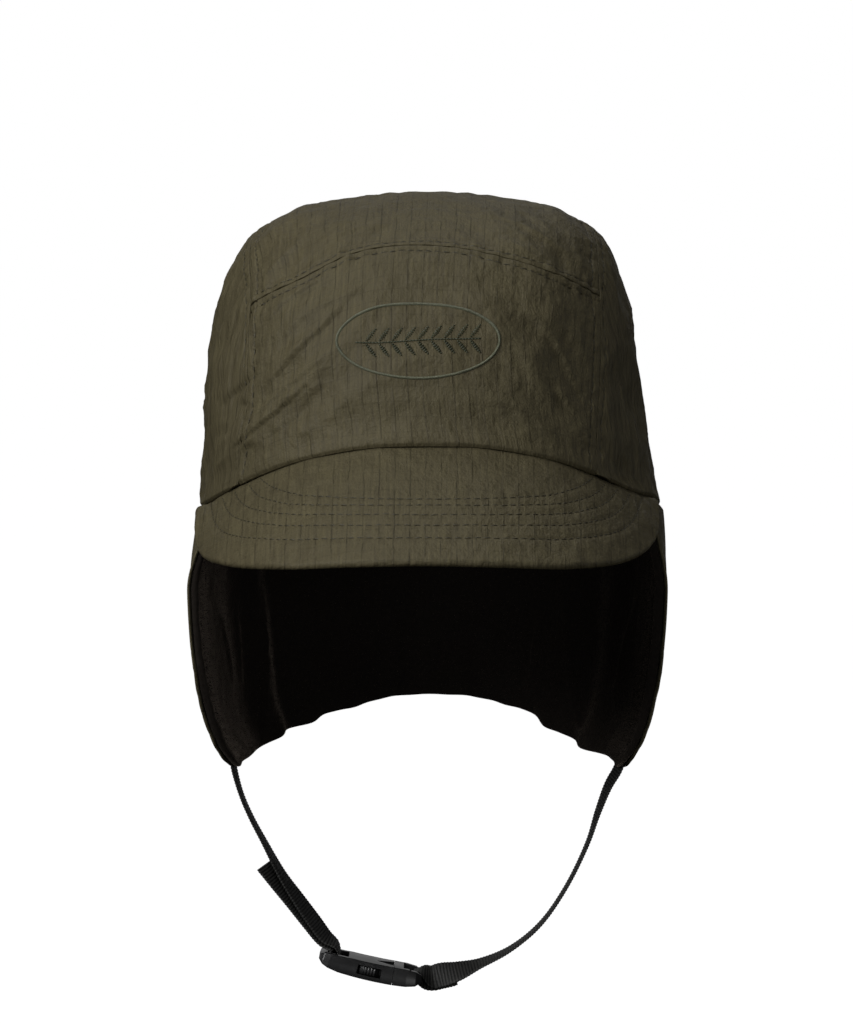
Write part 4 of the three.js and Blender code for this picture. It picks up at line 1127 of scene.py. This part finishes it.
def spline(route, count):
    """Centripetal curve through the points of a route: places and directions at even steps
    along it, and the share of the route's intervals passed at each step."""
    ends = [2 * route[0] - route[1], 2 * route[-1] - route[-2]]
    whole = np.concatenate([ends[:1], route, ends[1:]])
    chords = np.linalg.norm(np.diff(whole, axis=0), axis=-1) ** 0.5
    t = np.linspace(0, len(route) - 1, 4001)
    i = np.minimum(t.astype(int), len(route) - 2)
    u = (t - i)[:, None]
    p0, p1, p2, p3 = [whole[i + k] for k in range(4)]
    d0, d1, d2 = [chords[i + k][:, None] for k in range(3)]
    t1 = ((p1 - p0) / d0 - (p2 - p0) / (d0 + d1) + (p2 - p1) / d1) * d1
    t2 = ((p2 - p1) / d1 - (p3 - p1) / (d1 + d2) + (p3 - p2) / d2) * d1
    place = p1 + t1 * u + (3 * (p2 - p1) - 2 * t1 - t2) * u ** 2 + (2 * (p1 - p2) + t1 + t2) * u ** 3
    arc = np.r_[0, np.cumsum(np.linalg.norm(np.diff(place, axis=0), axis=-1))]
    even = np.linspace(0, arc[-1], count + 1)
    places = np.stack([np.interp(even, arc, place[:, k]) for k in range(3)], -1)
    return places, unit(np.gradient(places, axis=0)), np.interp(even, arc, t), arc[-1]


def near_bar(distance):
    """1 close to the bar, falling smoothly to 0 away from it."""
    return 1 - smoothstep(distance, 1.5, 6)


def strap_route(rows, approach, approach_turn, bar, radius, back_length, lift, back_turn, face):
    """Middle line of a strap: down to its bar, half a turn round it, and back beside itself on
    one face (1) or the other (-1), lifted off and turned about itself towards its end. Gives
    the places, the directions across its width and those square to its face."""
    depth = np.full(len(rows["x"]), BUCKLE["depth"])
    route = np.concatenate([points(rows["x"], depth, rows["z"]), approach[None], bar[None]])
    places, along, share, length = spline(route, 400)
    last = len(depth)
    turns = table("step turn", [*enumerate(rows["turn"]), (last, approach_turn), (last + 1, 0)])
    turn = np.radians(smooth_curve(turns, "step", "turn")(share))[:, None]
    square = points(-along[:, 2], 0 * along[:, 0], along[:, 0])
    width = unit(np.array([0, 1, 0]) * np.cos(turn) + square * np.sin(turn))
    square = np.cross(along, width) * face
    from_bar = np.linspace(length, 0, len(places))
    reach = radius + SEAM_GAP + STRAP["thickness"] / 2
    down = places + square * (reach * near_bar(from_bar))[:, None]
    swing = np.linspace(0, np.pi, 14)[1:-1, None]
    round_square = square[-1] * np.cos(swing) + along[-1] * np.sin(swing)
    back = (from_bar <= back_length)[::-1]
    apart = LAYER_PITCH + lift * (from_bar / back_length) ** 3
    spread = (apart + (reach - apart) * near_bar(from_bar))[:, None]
    returning = (places - square * spread)[::-1][back]
    middle = np.concatenate([down, bar + round_square * reach, returning])
    extra = np.radians(back_turn) * ((from_bar / back_length) ** 2)[::-1][back][:, None]
    back_width = width[::-1][back] * np.cos(extra) + square[::-1][back] * np.sin(extra)
    back_square = width[::-1][back] * np.sin(extra) - square[::-1][back] * np.cos(extra)
    widths = np.concatenate([width, np.repeat(width[-1:], len(swing), 0), back_width])
    squares = np.concatenate([square, round_square, back_square])
    return middle, widths, squares


def webbing(name, middle, widths, squares):
    """Ribbed webbing along a middle line. Its section is a flat superellipse whose thickness
    swells and thins once for each rib, a little less at the edges."""
    arc = np.r_[0, np.cumsum(np.linalg.norm(np.diff(middle, axis=0), axis=-1))]
    count = int(arc[-1] / RIB["pitch"] * RIB["steps"])
    even = np.linspace(0, arc[-1], count + 1)

    def read(values):
        return np.stack([np.interp(even, arc, values[:, k]) for k in range(3)], -1)

    centre = read(middle)
    width = unit(read(widths))
    square = unit(read(squares))
    turn = np.linspace(0, 2 * np.pi, 21)
    across = np.sign(np.cos(turn)) * np.abs(np.cos(turn)) ** 0.45 * STRAP["width"] / 2
    up = np.sign(np.sin(turn)) * np.abs(np.sin(turn)) ** 0.55 * STRAP["thickness"] / 2
    end = np.minimum(even, arc[-1] - even)
    between_ribs = 0.5 - 0.5 * np.cos(2 * np.pi * even / RIB["pitch"])
    swell = (1 - RIB["depth"] * between_ribs) * pillow(end, 0.5)
    narrow = 1 - 0.03 * between_ribs
    section = (width[:, None] * (across * narrow[:, None])[..., None]
               + square[:, None] * (up * swell[:, None])[..., None])
    grid = centre[:, None] + section
    girth = np.broadcast_to(across, grid.shape[:2])
    uvs = np.stack([girth, np.broadcast_to(even[:, None], grid.shape[:2])], -1)
    return merge_corners(
        quad_mesh(name, grid.reshape(-1, 3), grid_quads(*grid.shape[:2]), uvs.reshape(-1, 2)))


def chin_straps():
    """Both halves of the chin strap, on the same routes as their solids."""
    socket_bar = on_buckle(SOCKET_BAR["along"], 0, SOCKET_BAR["level"])
    above = on_buckle(SOCKET_BAR["along"], 0, APPROACH["left_height"])
    left = strap_route(
        LEFT_STRAP, above, APPROACH["left_turn"], socket_bar, SOCKET_BAR["radius"], TAIL["length"],
        TAIL["lift"], TAIL["turn"], 1)
    plug_bar = on_buckle(PLUG_BAR["along"], 0, PLUG_BAR["level"])
    beyond = on_buckle(PLUG_BAR["along"] + STRAP["width"] / 2, 0, 0)
    right = strap_route(
        RIGHT_STRAP, beyond, APPROACH["right_turn"], plug_bar, PLUG_BAR["radius"], STITCHED_LENGTH,
        0, 0, -1)
    return webbing("left_webbing", *left), webbing("right_webbing", *right)


# Buckle

def block(name, slices, corner, shoulder=(0, 0), spacing=0.6):
    """Closed block of the buckle through slices (along, half width, low, high), read straight
    between them. Each slice is a rectangle with quarter-circle corners, whose upper edges slope
    in over a shoulder (drop, inset)."""
    stops = table("along half low high", slices)
    given = stops["along"]
    count = int((given[-1] - given[0]) / spacing) + 1
    along = np.unique(np.r_[np.linspace(given[0], given[-1], count + 1), given])
    half, low, high = [
        np.interp(along, given, stops[column])[:, None] for column in ("half", "low", "high")]
    radius = np.minimum(corner, np.minimum(half, (high - low) / 2) * 0.9)
    turn = (np.arange(4)[:, None] * 90 + np.linspace(0, 90, 6)[None]).ravel() * np.pi / 180
    quarter = np.repeat(np.arange(4), 6)
    side = np.where((quarter == 0) | (quarter == 3), 1, -1)
    level = np.where(quarter < 2, 1, -1)
    inset = np.where(quarter < 2, shoulder[1], 0)
    across = side * (half - inset - radius) + radius * np.cos(turn)
    height = (high + low) / 2 + level * ((high - low) / 2 - radius) + radius * np.sin(turn)
    edge = np.maximum(high - np.maximum(shoulder[0], radius), low + radius)
    across = np.concatenate([half, across[:, :12], -half, across[:, 12:], half], 1)
    height = np.concatenate([edge, height[:, :12], edge, height[:, 12:], edge], 1)
    return capped(name, on_buckle(along[:, None], across, height))


def carve(piece, tool, operation):
    """Applies a boolean of a tool block to a piece and removes the tool."""
    cut = piece.modifiers.new("cut", "BOOLEAN")
    cut.operation = operation
    cut.solver = "EXACT"
    cut.object = tool
    bpy.context.view_layer.update()
    depsgraph = bpy.context.evaluated_depsgraph_get()
    mesh = bpy.data.meshes.new_from_object(piece.evaluated_get(depsgraph))
    piece.modifiers.clear()
    piece.data = mesh
    bpy.data.objects.remove(tool)


def soften(piece, width):
    """Rounds the moulded edges of a piece with a small bevel and shades it smooth between them."""
    bevel = piece.modifiers.new("edges", "BEVEL")
    bevel.width = width * MM
    bevel.segments = 2
    bevel.limit_method = "ANGLE"
    bevel.angle_limit = math.radians(40)
    bevel.use_clamp_overlap = True
    piece.data.shade_smooth()
    piece.data.set_sharp_from_angle(angle=math.radians(35))


# Sizes of the buckle's halves: the socket's length, the gap before the plug, the shoulder of
# both, half the width of their slots, and how far their bars reach into the sides
SOCKET_LENGTH = 28.0
PLUG_START = SOCKET_LENGTH + 0.1
SHOULDER = (2.1, 1.0)
SLOT = STRAP["width"] / 2 + SEAM_GAP
BAR = SLOT + 0.5
GRIP = {"pitch": 1.1, "height": 0.12}
ARM_HALF_HEIGHT = 1.6


def socket_piece():
    """Socket half: a pointed shell with the strap's slot and bar, the cavity for the plug, and
    a window in each side."""
    body = block("socket_shell", [
        (0, 6.95, -0.9, 0.9), (1.6, 8.15, -2.2, 2.0), (4, 8.6, -2.9, 2.4), (8, 8.75, -3.3, 2.7),
        (12, 8.75, -3.3, 3.1), (20, 8.75, -3.3, 3.3), (SOCKET_LENGTH, 8.75, -3.3, 3.3),
    ], 0.4, SHOULDER)
    beyond = SOCKET_LENGTH + 1
    for name, slices, corner, operation in (
        ("slot", [(2.3, SLOT, -7, 7), (10.5, SLOT, -7, 7)], 0.5, "DIFFERENCE"),
        ("bar", [(4.1, BAR, -2.3, -0.1), (6.3, BAR, -2.3, -0.1)], 1.0, "UNION"),
        ("cavity", [(13, 6.9, -1.9, 1.9), (beyond, 6.9, -1.9, 1.9)], 0.4, "DIFFERENCE"),
        ("window", [(14.6, 11, -1.7, 1.7), (23.5, 11, -1.7, 1.7)], 1.1, "DIFFERENCE"),
        ("notch", [(21.5, 0.4, 2.4, 6), (beyond, 4.6, 2.4, 6)], 0.3, "DIFFERENCE"),
    ):
        carve(body, block(name, slices, corner), operation)
    soften(body, 0.22)
    return body


def plug_piece():
    """Plug half: a rounded base with the strap's bar between two rails, a middle tongue, and
    two sprung arms whose ribbed pads fill the socket's windows."""
    base = block("plug_body", [
        (PLUG_START, 8.75, -3.3, 3.3), (33, 8.75, -3.2, 3.1), (36.5, 8.45, -2.7, 2.5),
        (38.7, 7.35, -1.3, 1.3),
    ], 0.4, SHOULDER)
    for name, slices, corner, operation in (
        ("slot", [(31.6, SLOT, -7, 7), (40, SLOT, -7, 7)], 0.5, "DIFFERENCE"),
        ("bar", [(36.3, BAR, -1.1, 1.1), (38.5, BAR, -1.1, 1.1)], 1.0, "UNION"),
        ("tongue", [(14, 1.6, -1.85, 1.85), (PLUG_START + 0.5, 1.6, -1.85, 1.85)], 0.2, "UNION"),
    ):
        carve(base, block(name, slices, corner), operation)
    for side in (-1, 1):
        carve(base, arm(side), "UNION")
    soften(base, 0.2)
    return base


def arm(side):
    """One sprung arm: a bar beside the tongue whose pad swells out into the window, with grip
    ribs across it."""
    stops = table("along inner outer", [
        (15.6, 5.6, 8.0), (17.2, 4.9, 8.5), (21.4, 4.4, 8.2), (22.9, 4.2, 6.4), (28.8, 4.4, 6.5),
    ])
    along = np.linspace(stops["along"][0], stops["along"][-1], 90)
    inner = np.interp(along, stops["along"], stops["inner"])[:, None]
    outer = np.interp(along, stops["along"], stops["outer"])[:, None]
    on_pad = smoothstep(outer, 6.6, 7.4)
    outer = outer + GRIP["height"] * on_pad * np.sin(2 * np.pi * along[:, None] / GRIP["pitch"])
    turn = np.linspace(0, 2 * np.pi, 17)
    flat = np.sign(np.cos(turn)) * np.abs(np.cos(turn)) ** 0.4
    high = np.sign(np.sin(turn)) * np.abs(np.sin(turn)) ** 0.4
    across = side * ((inner + outer) / 2 + (outer - inner) / 2 * flat)
    return capped("arm", on_buckle(along[:, None], across, ARM_HALF_HEIGHT * high))


# Fleece pile

PILE = {"count": 30000, "length": 0.8, "root": 0.12, "sunk": 0.3, "half_angle": 107.0}
PILE_LEAN = {"random": 0.55, "down": 0.25}


def fleece_pile(patch):
    """Short tufts of fleece: thin four-sided spikes that stand on the lining, leaning at random
    and a little downwards."""
    rng = np.random.default_rng(SEEDS["pile"])
    count = PILE["count"]
    angle = rng.uniform(-PILE["half_angle"], PILE["half_angle"], count)
    drop = 0.985 * rng.uniform(0, 1, count) ** 0.75
    place, normal = patch.at_parameters(angle, drop)
    lean = rng.normal(size=(count, 3)) * PILE_LEAN["random"] - PILE_LEAN["down"] * UP
    way = unit(normal + lean)
    tip = place + way * (PILE["length"] * rng.uniform(0.5, 1.2, (count, 1)))
    side = unit(np.cross(way, rng.normal(size=(count, 3))))
    other = np.cross(way, side)
    root = PILE["root"]
    sunk = place - normal * PILE["sunk"]
    corners = [sunk + side * root, sunk + other * root, sunk - side * root, sunk - other * root]
    vertices = np.stack([*corners, tip], 1).reshape(-1, 3)
    one = np.array([[0, 1, 4], [1, 2, 4], [2, 3, 4], [3, 0, 4], [0, 3, 2], [0, 2, 1]])
    faces = (np.arange(count)[:, None, None] * 5 + one).reshape(-1, 3)
    mesh = bpy.data.meshes.new("fleece_pile")
    mesh.from_pydata(vertices * MM, [], faces)
    obj = bpy.data.objects.new("fleece_pile", mesh)
    bpy.context.scene.collection.objects.link(obj)
    return obj


# Materials

def linear(colour):
    """Linear RGBA of an sRGB hex colour."""
    values = [int(colour[i:i + 2], 16) / 255 for i in (1, 3, 5)]
    return (*[v / 12.92 if v <= 0.04045 else ((v + 0.055) / 1.055) ** 2.4 for v in values], 1.0)


def add(tree, kind, inputs=None, **settings):
    """Adds a node with its settings. An input is a value, an output, or a node, of which the
    first output in use is linked."""
    node = tree.nodes.new(kind)
    for name, value in settings.items():
        setattr(node, name, value)
    for name, value in (inputs or {}).items():
        if isinstance(value, bpy.types.Node):
            value = next(output for output in value.outputs if output.enabled)
        if isinstance(value, bpy.types.NodeSocket):
            tree.links.new(value, node.inputs[name])
        else:
            node.inputs[name].default_value = value
    return node


def empty_material(name):
    """New material and its empty node tree."""
    material = bpy.data.materials.new(name)
    material.use_nodes = True
    material.node_tree.nodes.clear()
    return material, material.node_tree


RIPSTOP = {"pitch": 5.3, "line": 0.34, "level_share": 0.4}
CLOTH_NOISES = table("across up detail roughness", [
    (0.10, 0.10, 1.0, 0.50),
    (0.80, 0.13, 2.0, 0.55),
    (1.05, 0.05, 3.0, 0.70),
    (0.10, 0.85, 2.0, 0.60),
    (0.15, 0.11, 5.0, 0.60),
    (0.05, 0.05, 3.0, 0.60),
])


def ripstop(name, light, dark, line, shaded_copy=False):
    """Nylon ripstop, plain-woven with a doubled thread every 5.3 mm each way: the grid shows as
    thin broken lines, the weave as an upright grain, and handled cloth as a faint crinkle. The
    real threads are 0.25 mm, too fine to show, so the grain is drawn about 1 mm coarse."""
    material, tree = empty_material(name)
    uv = add(tree, "ShaderNodeUVMap", uv_map="cloth_mm")
    noises = []
    for across, up, detail, roughness in zip(*CLOTH_NOISES.values()):
        scaled = add(tree, "ShaderNodeMapping", {"Vector": uv, "Scale": (across, up, 1)})
        noises.append(add(tree, "ShaderNodeTexNoise", {
            "Vector": scaled, "Scale": 1.0, "Detail": detail, "Roughness": roughness}))
    wander, broken, grain, cross_grain, crinkle, cloud = noises

    # The doubled threads: a line wherever the nearest multiple of the pitch is close
    shift = add(tree, "ShaderNodeMath", {0: wander, 1: 1.2, 2: -0.6}, operation="MULTIPLY_ADD")
    axes = add(tree, "ShaderNodeSeparateXYZ", {0: uv})
    lines = []
    for axis, strength in ((0, 1.0), (1, RIPSTOP["level_share"])):
        moved = add(tree, "ShaderNodeMath", {0: axes.outputs[axis], 1: shift}, operation="ADD")
        away = add(tree, "ShaderNodeMath", {0: moved, 1: RIPSTOP["pitch"] / 2}, operation="PINGPONG")
        lines.append(add(tree, "ShaderNodeMapRange", {
            "Value": away, "From Min": RIPSTOP["line"], "From Max": RIPSTOP["line"] * 0.3,
            "To Max": strength,
        }, interpolation_type="SMOOTHSTEP"))
    both = add(tree, "ShaderNodeMath", {0: lines[0], 1: lines[1]}, operation="MAXIMUM")
    kept = add(tree, "ShaderNodeMapRange", {
        "Value": broken, "From Min": 0.36, "From Max": 0.62, "To Min": 0.12, "To Max": 1.0})
    grid = add(tree, "ShaderNodeMath", {0: both, 1: kept}, operation="MULTIPLY")

    # Colour: uneven dyeing and the upright grain, darker along the doubled threads
    grained = add(tree, "ShaderNodeMath", {0: grain, 1: 1.5, 2: -0.5}, operation="MULTIPLY_ADD")
    tone = add(tree, "ShaderNodeMath", {0: cloud, 1: 0.5, 2: grained}, operation="MULTIPLY_ADD")
    body = add(tree, "ShaderNodeMix", {
        "Factor": tone, "A": linear(dark), "B": linear(light)}, data_type="RGBA")
    lined_share = add(tree, "ShaderNodeMath", {0: grid, 1: 0.55}, operation="MULTIPLY")
    lined = add(tree, "ShaderNodeMix", {
        "Factor": lined_share, "A": body, "B": linear(line)}, data_type="RGBA")

    # Relief: ridges of the doubled threads and the grain, over the crinkle of handled cloth
    ridges = add(tree, "ShaderNodeMath", {0: grid, 1: 0.35, 2: grain}, operation="MULTIPLY_ADD")
    height = add(tree, "ShaderNodeMath", {0: cross_grain, 1: 0.3, 2: ridges}, operation="MULTIPLY_ADD")
    fine = add(tree, "ShaderNodeBump", {"Height": height, "Strength": 0.7, "Distance": 0.00022})
    soft = add(tree, "ShaderNodeBump", {
        "Height": crinkle, "Strength": 0.9, "Distance": 0.002, "Normal": fine})
    rough = add(tree, "ShaderNodeMapRange", {"Value": grain, "To Min": 0.5, "To Max": 0.72})
    shader = add(tree, "ShaderNodeBsdfPrincipled", {
        "Base Color": lined, "Roughness": rough, "Normal": soft,
        "Specular IOR Level": 0.12 if shaded_copy else 0.2})
    add(tree, "ShaderNodeOutputMaterial", {"Surface": shader})
    return material


def fleece(name, colour, tip):
    """Polyester fleece, knitted and brushed: a matt, nearly black pile whose tips catch a
    little light, in soft clumps 1 to 3 mm across."""
    material, tree = empty_material(name)
    place = add(tree, "ShaderNodeTexCoord").outputs["Object"]
    clumps = add(tree, "ShaderNodeTexNoise", {
        "Vector": place, "Scale": 700.0, "Detail": 4.0, "Roughness": 0.65})
    mix = add(tree, "ShaderNodeMix", {
        "Factor": clumps, "A": linear(colour), "B": linear(tip)}, data_type="RGBA")
    relief = add(tree, "ShaderNodeBump", {"Height": clumps, "Strength": 0.7, "Distance": 0.0006})
    shader = add(tree, "ShaderNodeBsdfPrincipled", {
        "Base Color": mix, "Normal": relief, "Roughness": 0.95, "Specular IOR Level": 0.1,
        "Sheen Weight": 0.6, "Sheen Roughness": 0.4, "Sheen Tint": linear("#a89a8c")})
    add(tree, "ShaderNodeOutputMaterial", {"Surface": shader})
    return material


def woven_webbing(name):
    """Polypropylene webbing: dull black with a slight gloss, a painted highlight that lightens the
    colour on the top of each rib, and fine yarns that run along the strap."""
    material, tree = empty_material(name)
    uv = add(tree, "ShaderNodeUVMap", uv_map="cloth_mm")
    axes = add(tree, "ShaderNodeSeparateXYZ", {0: uv})
    # Painted highlight: the colour is lighter where each rib stands highest
    phase = add(tree, "ShaderNodeMath", {
        0: axes.outputs[1], 1: 2 * math.pi / RIB["pitch"]}, operation="MULTIPLY")
    rib = add(tree, "ShaderNodeMath", {0: phase}, operation="COSINE")
    scaled = add(tree, "ShaderNodeMapping", {"Vector": uv, "Scale": (2.2, 0.9, 1)})
    yarn = add(tree, "ShaderNodeTexNoise", {"Vector": scaled, "Scale": 1.0, "Detail": 2.0})
    tone = add(tree, "ShaderNodeMath", {0: rib, 1: 0.4, 2: yarn}, operation="MULTIPLY_ADD")
    mix = add(tree, "ShaderNodeMix", {
        "Factor": tone, "A": linear("#070707"), "B": linear("#3b3b39")}, data_type="RGBA")
    relief = add(tree, "ShaderNodeBump", {"Height": yarn, "Strength": 0.6, "Distance": 0.0002})
    shader = add(tree, "ShaderNodeBsdfPrincipled", {
        "Base Color": mix, "Normal": relief, "Roughness": 0.6, "Specular IOR Level": 0.35})
    add(tree, "ShaderNodeOutputMaterial", {"Surface": shader})
    return material


def sewing_thread(name, colour, shade, gloss):
    """Spun polyester thread: its twist shows as a fine uneven tone along each stitch."""
    material, tree = empty_material(name)
    place = add(tree, "ShaderNodeTexCoord").outputs["Object"]
    twist = add(tree, "ShaderNodeTexNoise", {"Vector": place, "Scale": 2600.0, "Detail": 2.0})
    mix = add(tree, "ShaderNodeMix", {
        "Factor": twist, "A": linear(shade), "B": linear(colour)}, data_type="RGBA")
    shader = add(tree, "ShaderNodeBsdfPrincipled", {
        "Base Color": mix, "Roughness": gloss, "Specular IOR Level": 0.5})
    add(tree, "ShaderNodeOutputMaterial", {"Surface": shader})
    return material


def moulded_acetal(name):
    """Injection-moulded acetal: black, half-glossy, with the faint grain of a spark-eroded
    mould and slightly duller patches from handling."""
    material, tree = empty_material(name)
    place = add(tree, "ShaderNodeTexCoord").outputs["Object"]
    grain = add(tree, "ShaderNodeTexNoise", {"Vector": place, "Scale": 2500.0, "Detail": 2.0})
    handled = add(tree, "ShaderNodeTexNoise", {"Vector": place, "Scale": 120.0, "Detail": 3.0})
    mix = add(tree, "ShaderNodeMix", {
        "Factor": handled, "A": linear("#151515"), "B": linear("#232324")}, data_type="RGBA")
    rough = add(tree, "ShaderNodeMapRange", {"Value": handled, "To Min": 0.26, "To Max": 0.42})
    relief = add(tree, "ShaderNodeBump", {"Height": grain, "Strength": 0.15, "Distance": 0.0001})
    shader = add(tree, "ShaderNodeBsdfPrincipled", {
        "Base Color": mix, "Roughness": rough, "Normal": relief})
    add(tree, "ShaderNodeOutputMaterial", {"Surface": shader})
    return material


# Assembly

def place_piece(piece, materials, slot, *nodes):
    """Gives a piece its materials and lets it stand for its CAD nodes. The slot argument is not used."""
    for material in materials:
        piece.data.materials.append(material)
    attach(piece, "root")
    if nodes:
        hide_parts(*nodes)
    return piece


def build_cap():
    cloth = ripstop("nylon_ripstop_olive", "#655e45", "#464030", "#262216")
    # The reverse is a darker, less glossy copy of the ripstop: painted shade for the inside of the cap
    reverse = ripstop("painted_shade_ripstop_reverse", "#3a3628", "#2e2b20", "#211e15", shaded_copy=True)
    pile = fleece("polyester_fleece_black", "#110f0d", "#2b2622")
    thread = sewing_thread("olive_sewing_thread", "#4e4936", "#211e13", 0.5)
    ring_thread = sewing_thread("grey_olive_rayon_thread", "#858870", "#2b2d1f", 0.4)
    dark_thread = sewing_thread("dark_green_rayon_thread", "#52573f", "#181a12", 0.4)
    strap_material = woven_webbing("black_polypropylene_webbing")
    plastic = moulded_acetal("black_moulded_acetal")

    front, front_patch = strip_panel("crown_front_cloth", "front")
    top, top_patch = strip_panel("crown_top_cloth", "top")
    left, left_patch = side_panel("crown_left_cloth", -1, SEEDS["left"])
    right, right_patch = side_panel("crown_right_cloth", 1, SEEDS["right"])
    peak, peak_patch = peak_piece()
    shell, shell_patch = flap_shell()
    lining, lining_patch = flap_lining()

    place_piece(front, [cloth, reverse], "olive_ripstop", "crown_front_panel")
    place_piece(top, [cloth, reverse], "olive_ripstop", "crown_top_panel")
    place_piece(left, [cloth, reverse], "olive_ripstop", "crown_left_side_panel")
    place_piece(right, [cloth, reverse], "olive_ripstop", "crown_right_side_panel")
    place_piece(peak, [cloth, cloth], "olive_ripstop", "peak")
    place_piece(shell, [cloth, reverse], "olive_ripstop", "earflap_shell")
    place_piece(lining, [pile, pile], "black_fleece", "earflap_lining")

    seams = topstitching(front_patch, top_patch, [left_patch, right_patch])
    place_piece(seams, [thread], "olive_ripstop")
    place_piece(peak_stitching(peak_patch), [thread], "olive_ripstop")
    place_piece(flap_stitching(shell_patch), [thread], "olive_ripstop")
    place_piece(oval_ring(front_patch), [ring_thread], "olive_ripstop")
    place_piece(leaf_sprig(front_patch), [dark_thread], "olive_ripstop")
    tufts = place_piece(fleece_pile(lining_patch), [pile], "black_fleece")

    left_strap, right_strap = chin_straps()
    place_piece(left_strap, [strap_material], "black_webbing", "chin_strap_left")
    place_piece(right_strap, [strap_material], "black_webbing", "chin_strap_right")
    place_piece(socket_piece(), [plastic], "black_nylon", "buckle_socket")
    place_piece(plug_piece(), [plastic], "black_nylon", "buckle_plug")


# Studio

# Pale floor, in metres
FLOOR = {"half_width": 30.0, "level": -0.75}


def soft_light(name, way, distance, size, power):
    """Square soft light that shines at the cap from a direction, with its distance and size in
    metres and its power in watts. The camera doesn't see it."""
    light = bpy.data.lights.new(name, "AREA")
    light.shape = "SQUARE"
    light.size = size
    light.energy = power
    obj = bpy.data.objects.new(name, light)
    bpy.context.scene.collection.objects.link(obj)
    direction = unit(np.array(way, float))
    obj.location = direction * distance
    obj.visible_camera = False
    obj.rotation_mode = "QUATERNION"
    obj.rotation_quaternion = Vector(direction).to_track_quat("Z", "Y")


def studio():
    """Camera, pale floor, white surroundings, and soft lights with a key from the left."""
    scene = bpy.context.scene
    turn = math.radians(VIEW["turn"])
    rise = math.radians(VIEW["elevation"])
    back = np.array([
        math.sin(turn) * math.cos(rise), -math.cos(turn) * math.cos(rise), math.sin(rise)])
    camera = bpy.data.cameras.new("camera")
    camera.lens = camera.sensor_width * VIEW["distance"] / VIEW_HEIGHT
    camera_object = bpy.data.objects.new("camera", camera)
    scene.collection.objects.link(camera_object)
    camera_object.location = (np.array(VIEW["target"]) + back * VIEW["distance"]) * MM
    camera_object.rotation_mode = "QUATERNION"
    camera_object.rotation_quaternion = Vector(back).to_track_quat("Z", "Y")
    scene.camera = camera_object

    floor_mesh = bpy.data.meshes.new("floor")
    half = FLOOR["half_width"]
    corners = [(x * half, y * half, FLOOR["level"]) for x, y in ((-1, -1), (1, -1), (1, 1), (-1, 1))]
    floor_mesh.from_pydata(corners, [], [(0, 1, 2, 3)])
    floor = bpy.data.objects.new("floor", floor_mesh)
    scene.collection.objects.link(floor)
    paper = bpy.data.materials.new("white_backdrop_paper")
    paper.use_nodes = True
    shader = paper.node_tree.nodes["Principled BSDF"]
    shader.inputs["Base Color"].default_value = linear("#f6f6f6")
    shader.inputs["Roughness"].default_value = 1.0
    shader.inputs["Emission Color"].default_value = linear("#ffffff")
    shader.inputs["Emission Strength"].default_value = 1.0
    floor_mesh.materials.append(paper)
    floor.visible_diffuse = False
    floor.visible_glossy = False

    world = bpy.data.worlds.new("studio")
    scene.world = world
    world.use_nodes = True
    background = world.node_tree.nodes["Background"]
    background.inputs["Color"].default_value = linear("#ffffff")
    background.inputs["Strength"].default_value = 1.0
    world.cycles_visibility.diffuse = False
    world.cycles_visibility.glossy = False

    soft_light("key", (-0.68, -0.62, 0.45), 1.7, 0.6, 15)
    soft_light("front_fill", (0.35, -1.0, -0.08), 2.2, 1.0, 5.5)
    soft_light("low_left_fill", (-0.7, -1.0, -0.1), 2.2, 0.8, 3)
    soft_light("top_fill", (-0.2, -0.2, 1.0), 1.9, 1.2, 7.5)
    soft_light("high_front", (-0.1, -0.72, 0.7), 2.0, 0.4, 3.4)
    soft_light("right_fill", (1.0, 0.3, 0.1), 2.2, 1.4, 2.6)
    soft_light("backdrop_glow", (0.0, 1.0, 0.12), 2.1, 1.4, 3)
    soft_light("high_back", (0.1, 0.6, 1.0), 2.0, 1.2, 5)
    scene.view_settings.view_transform = "Standard"


build_cap()
studio()
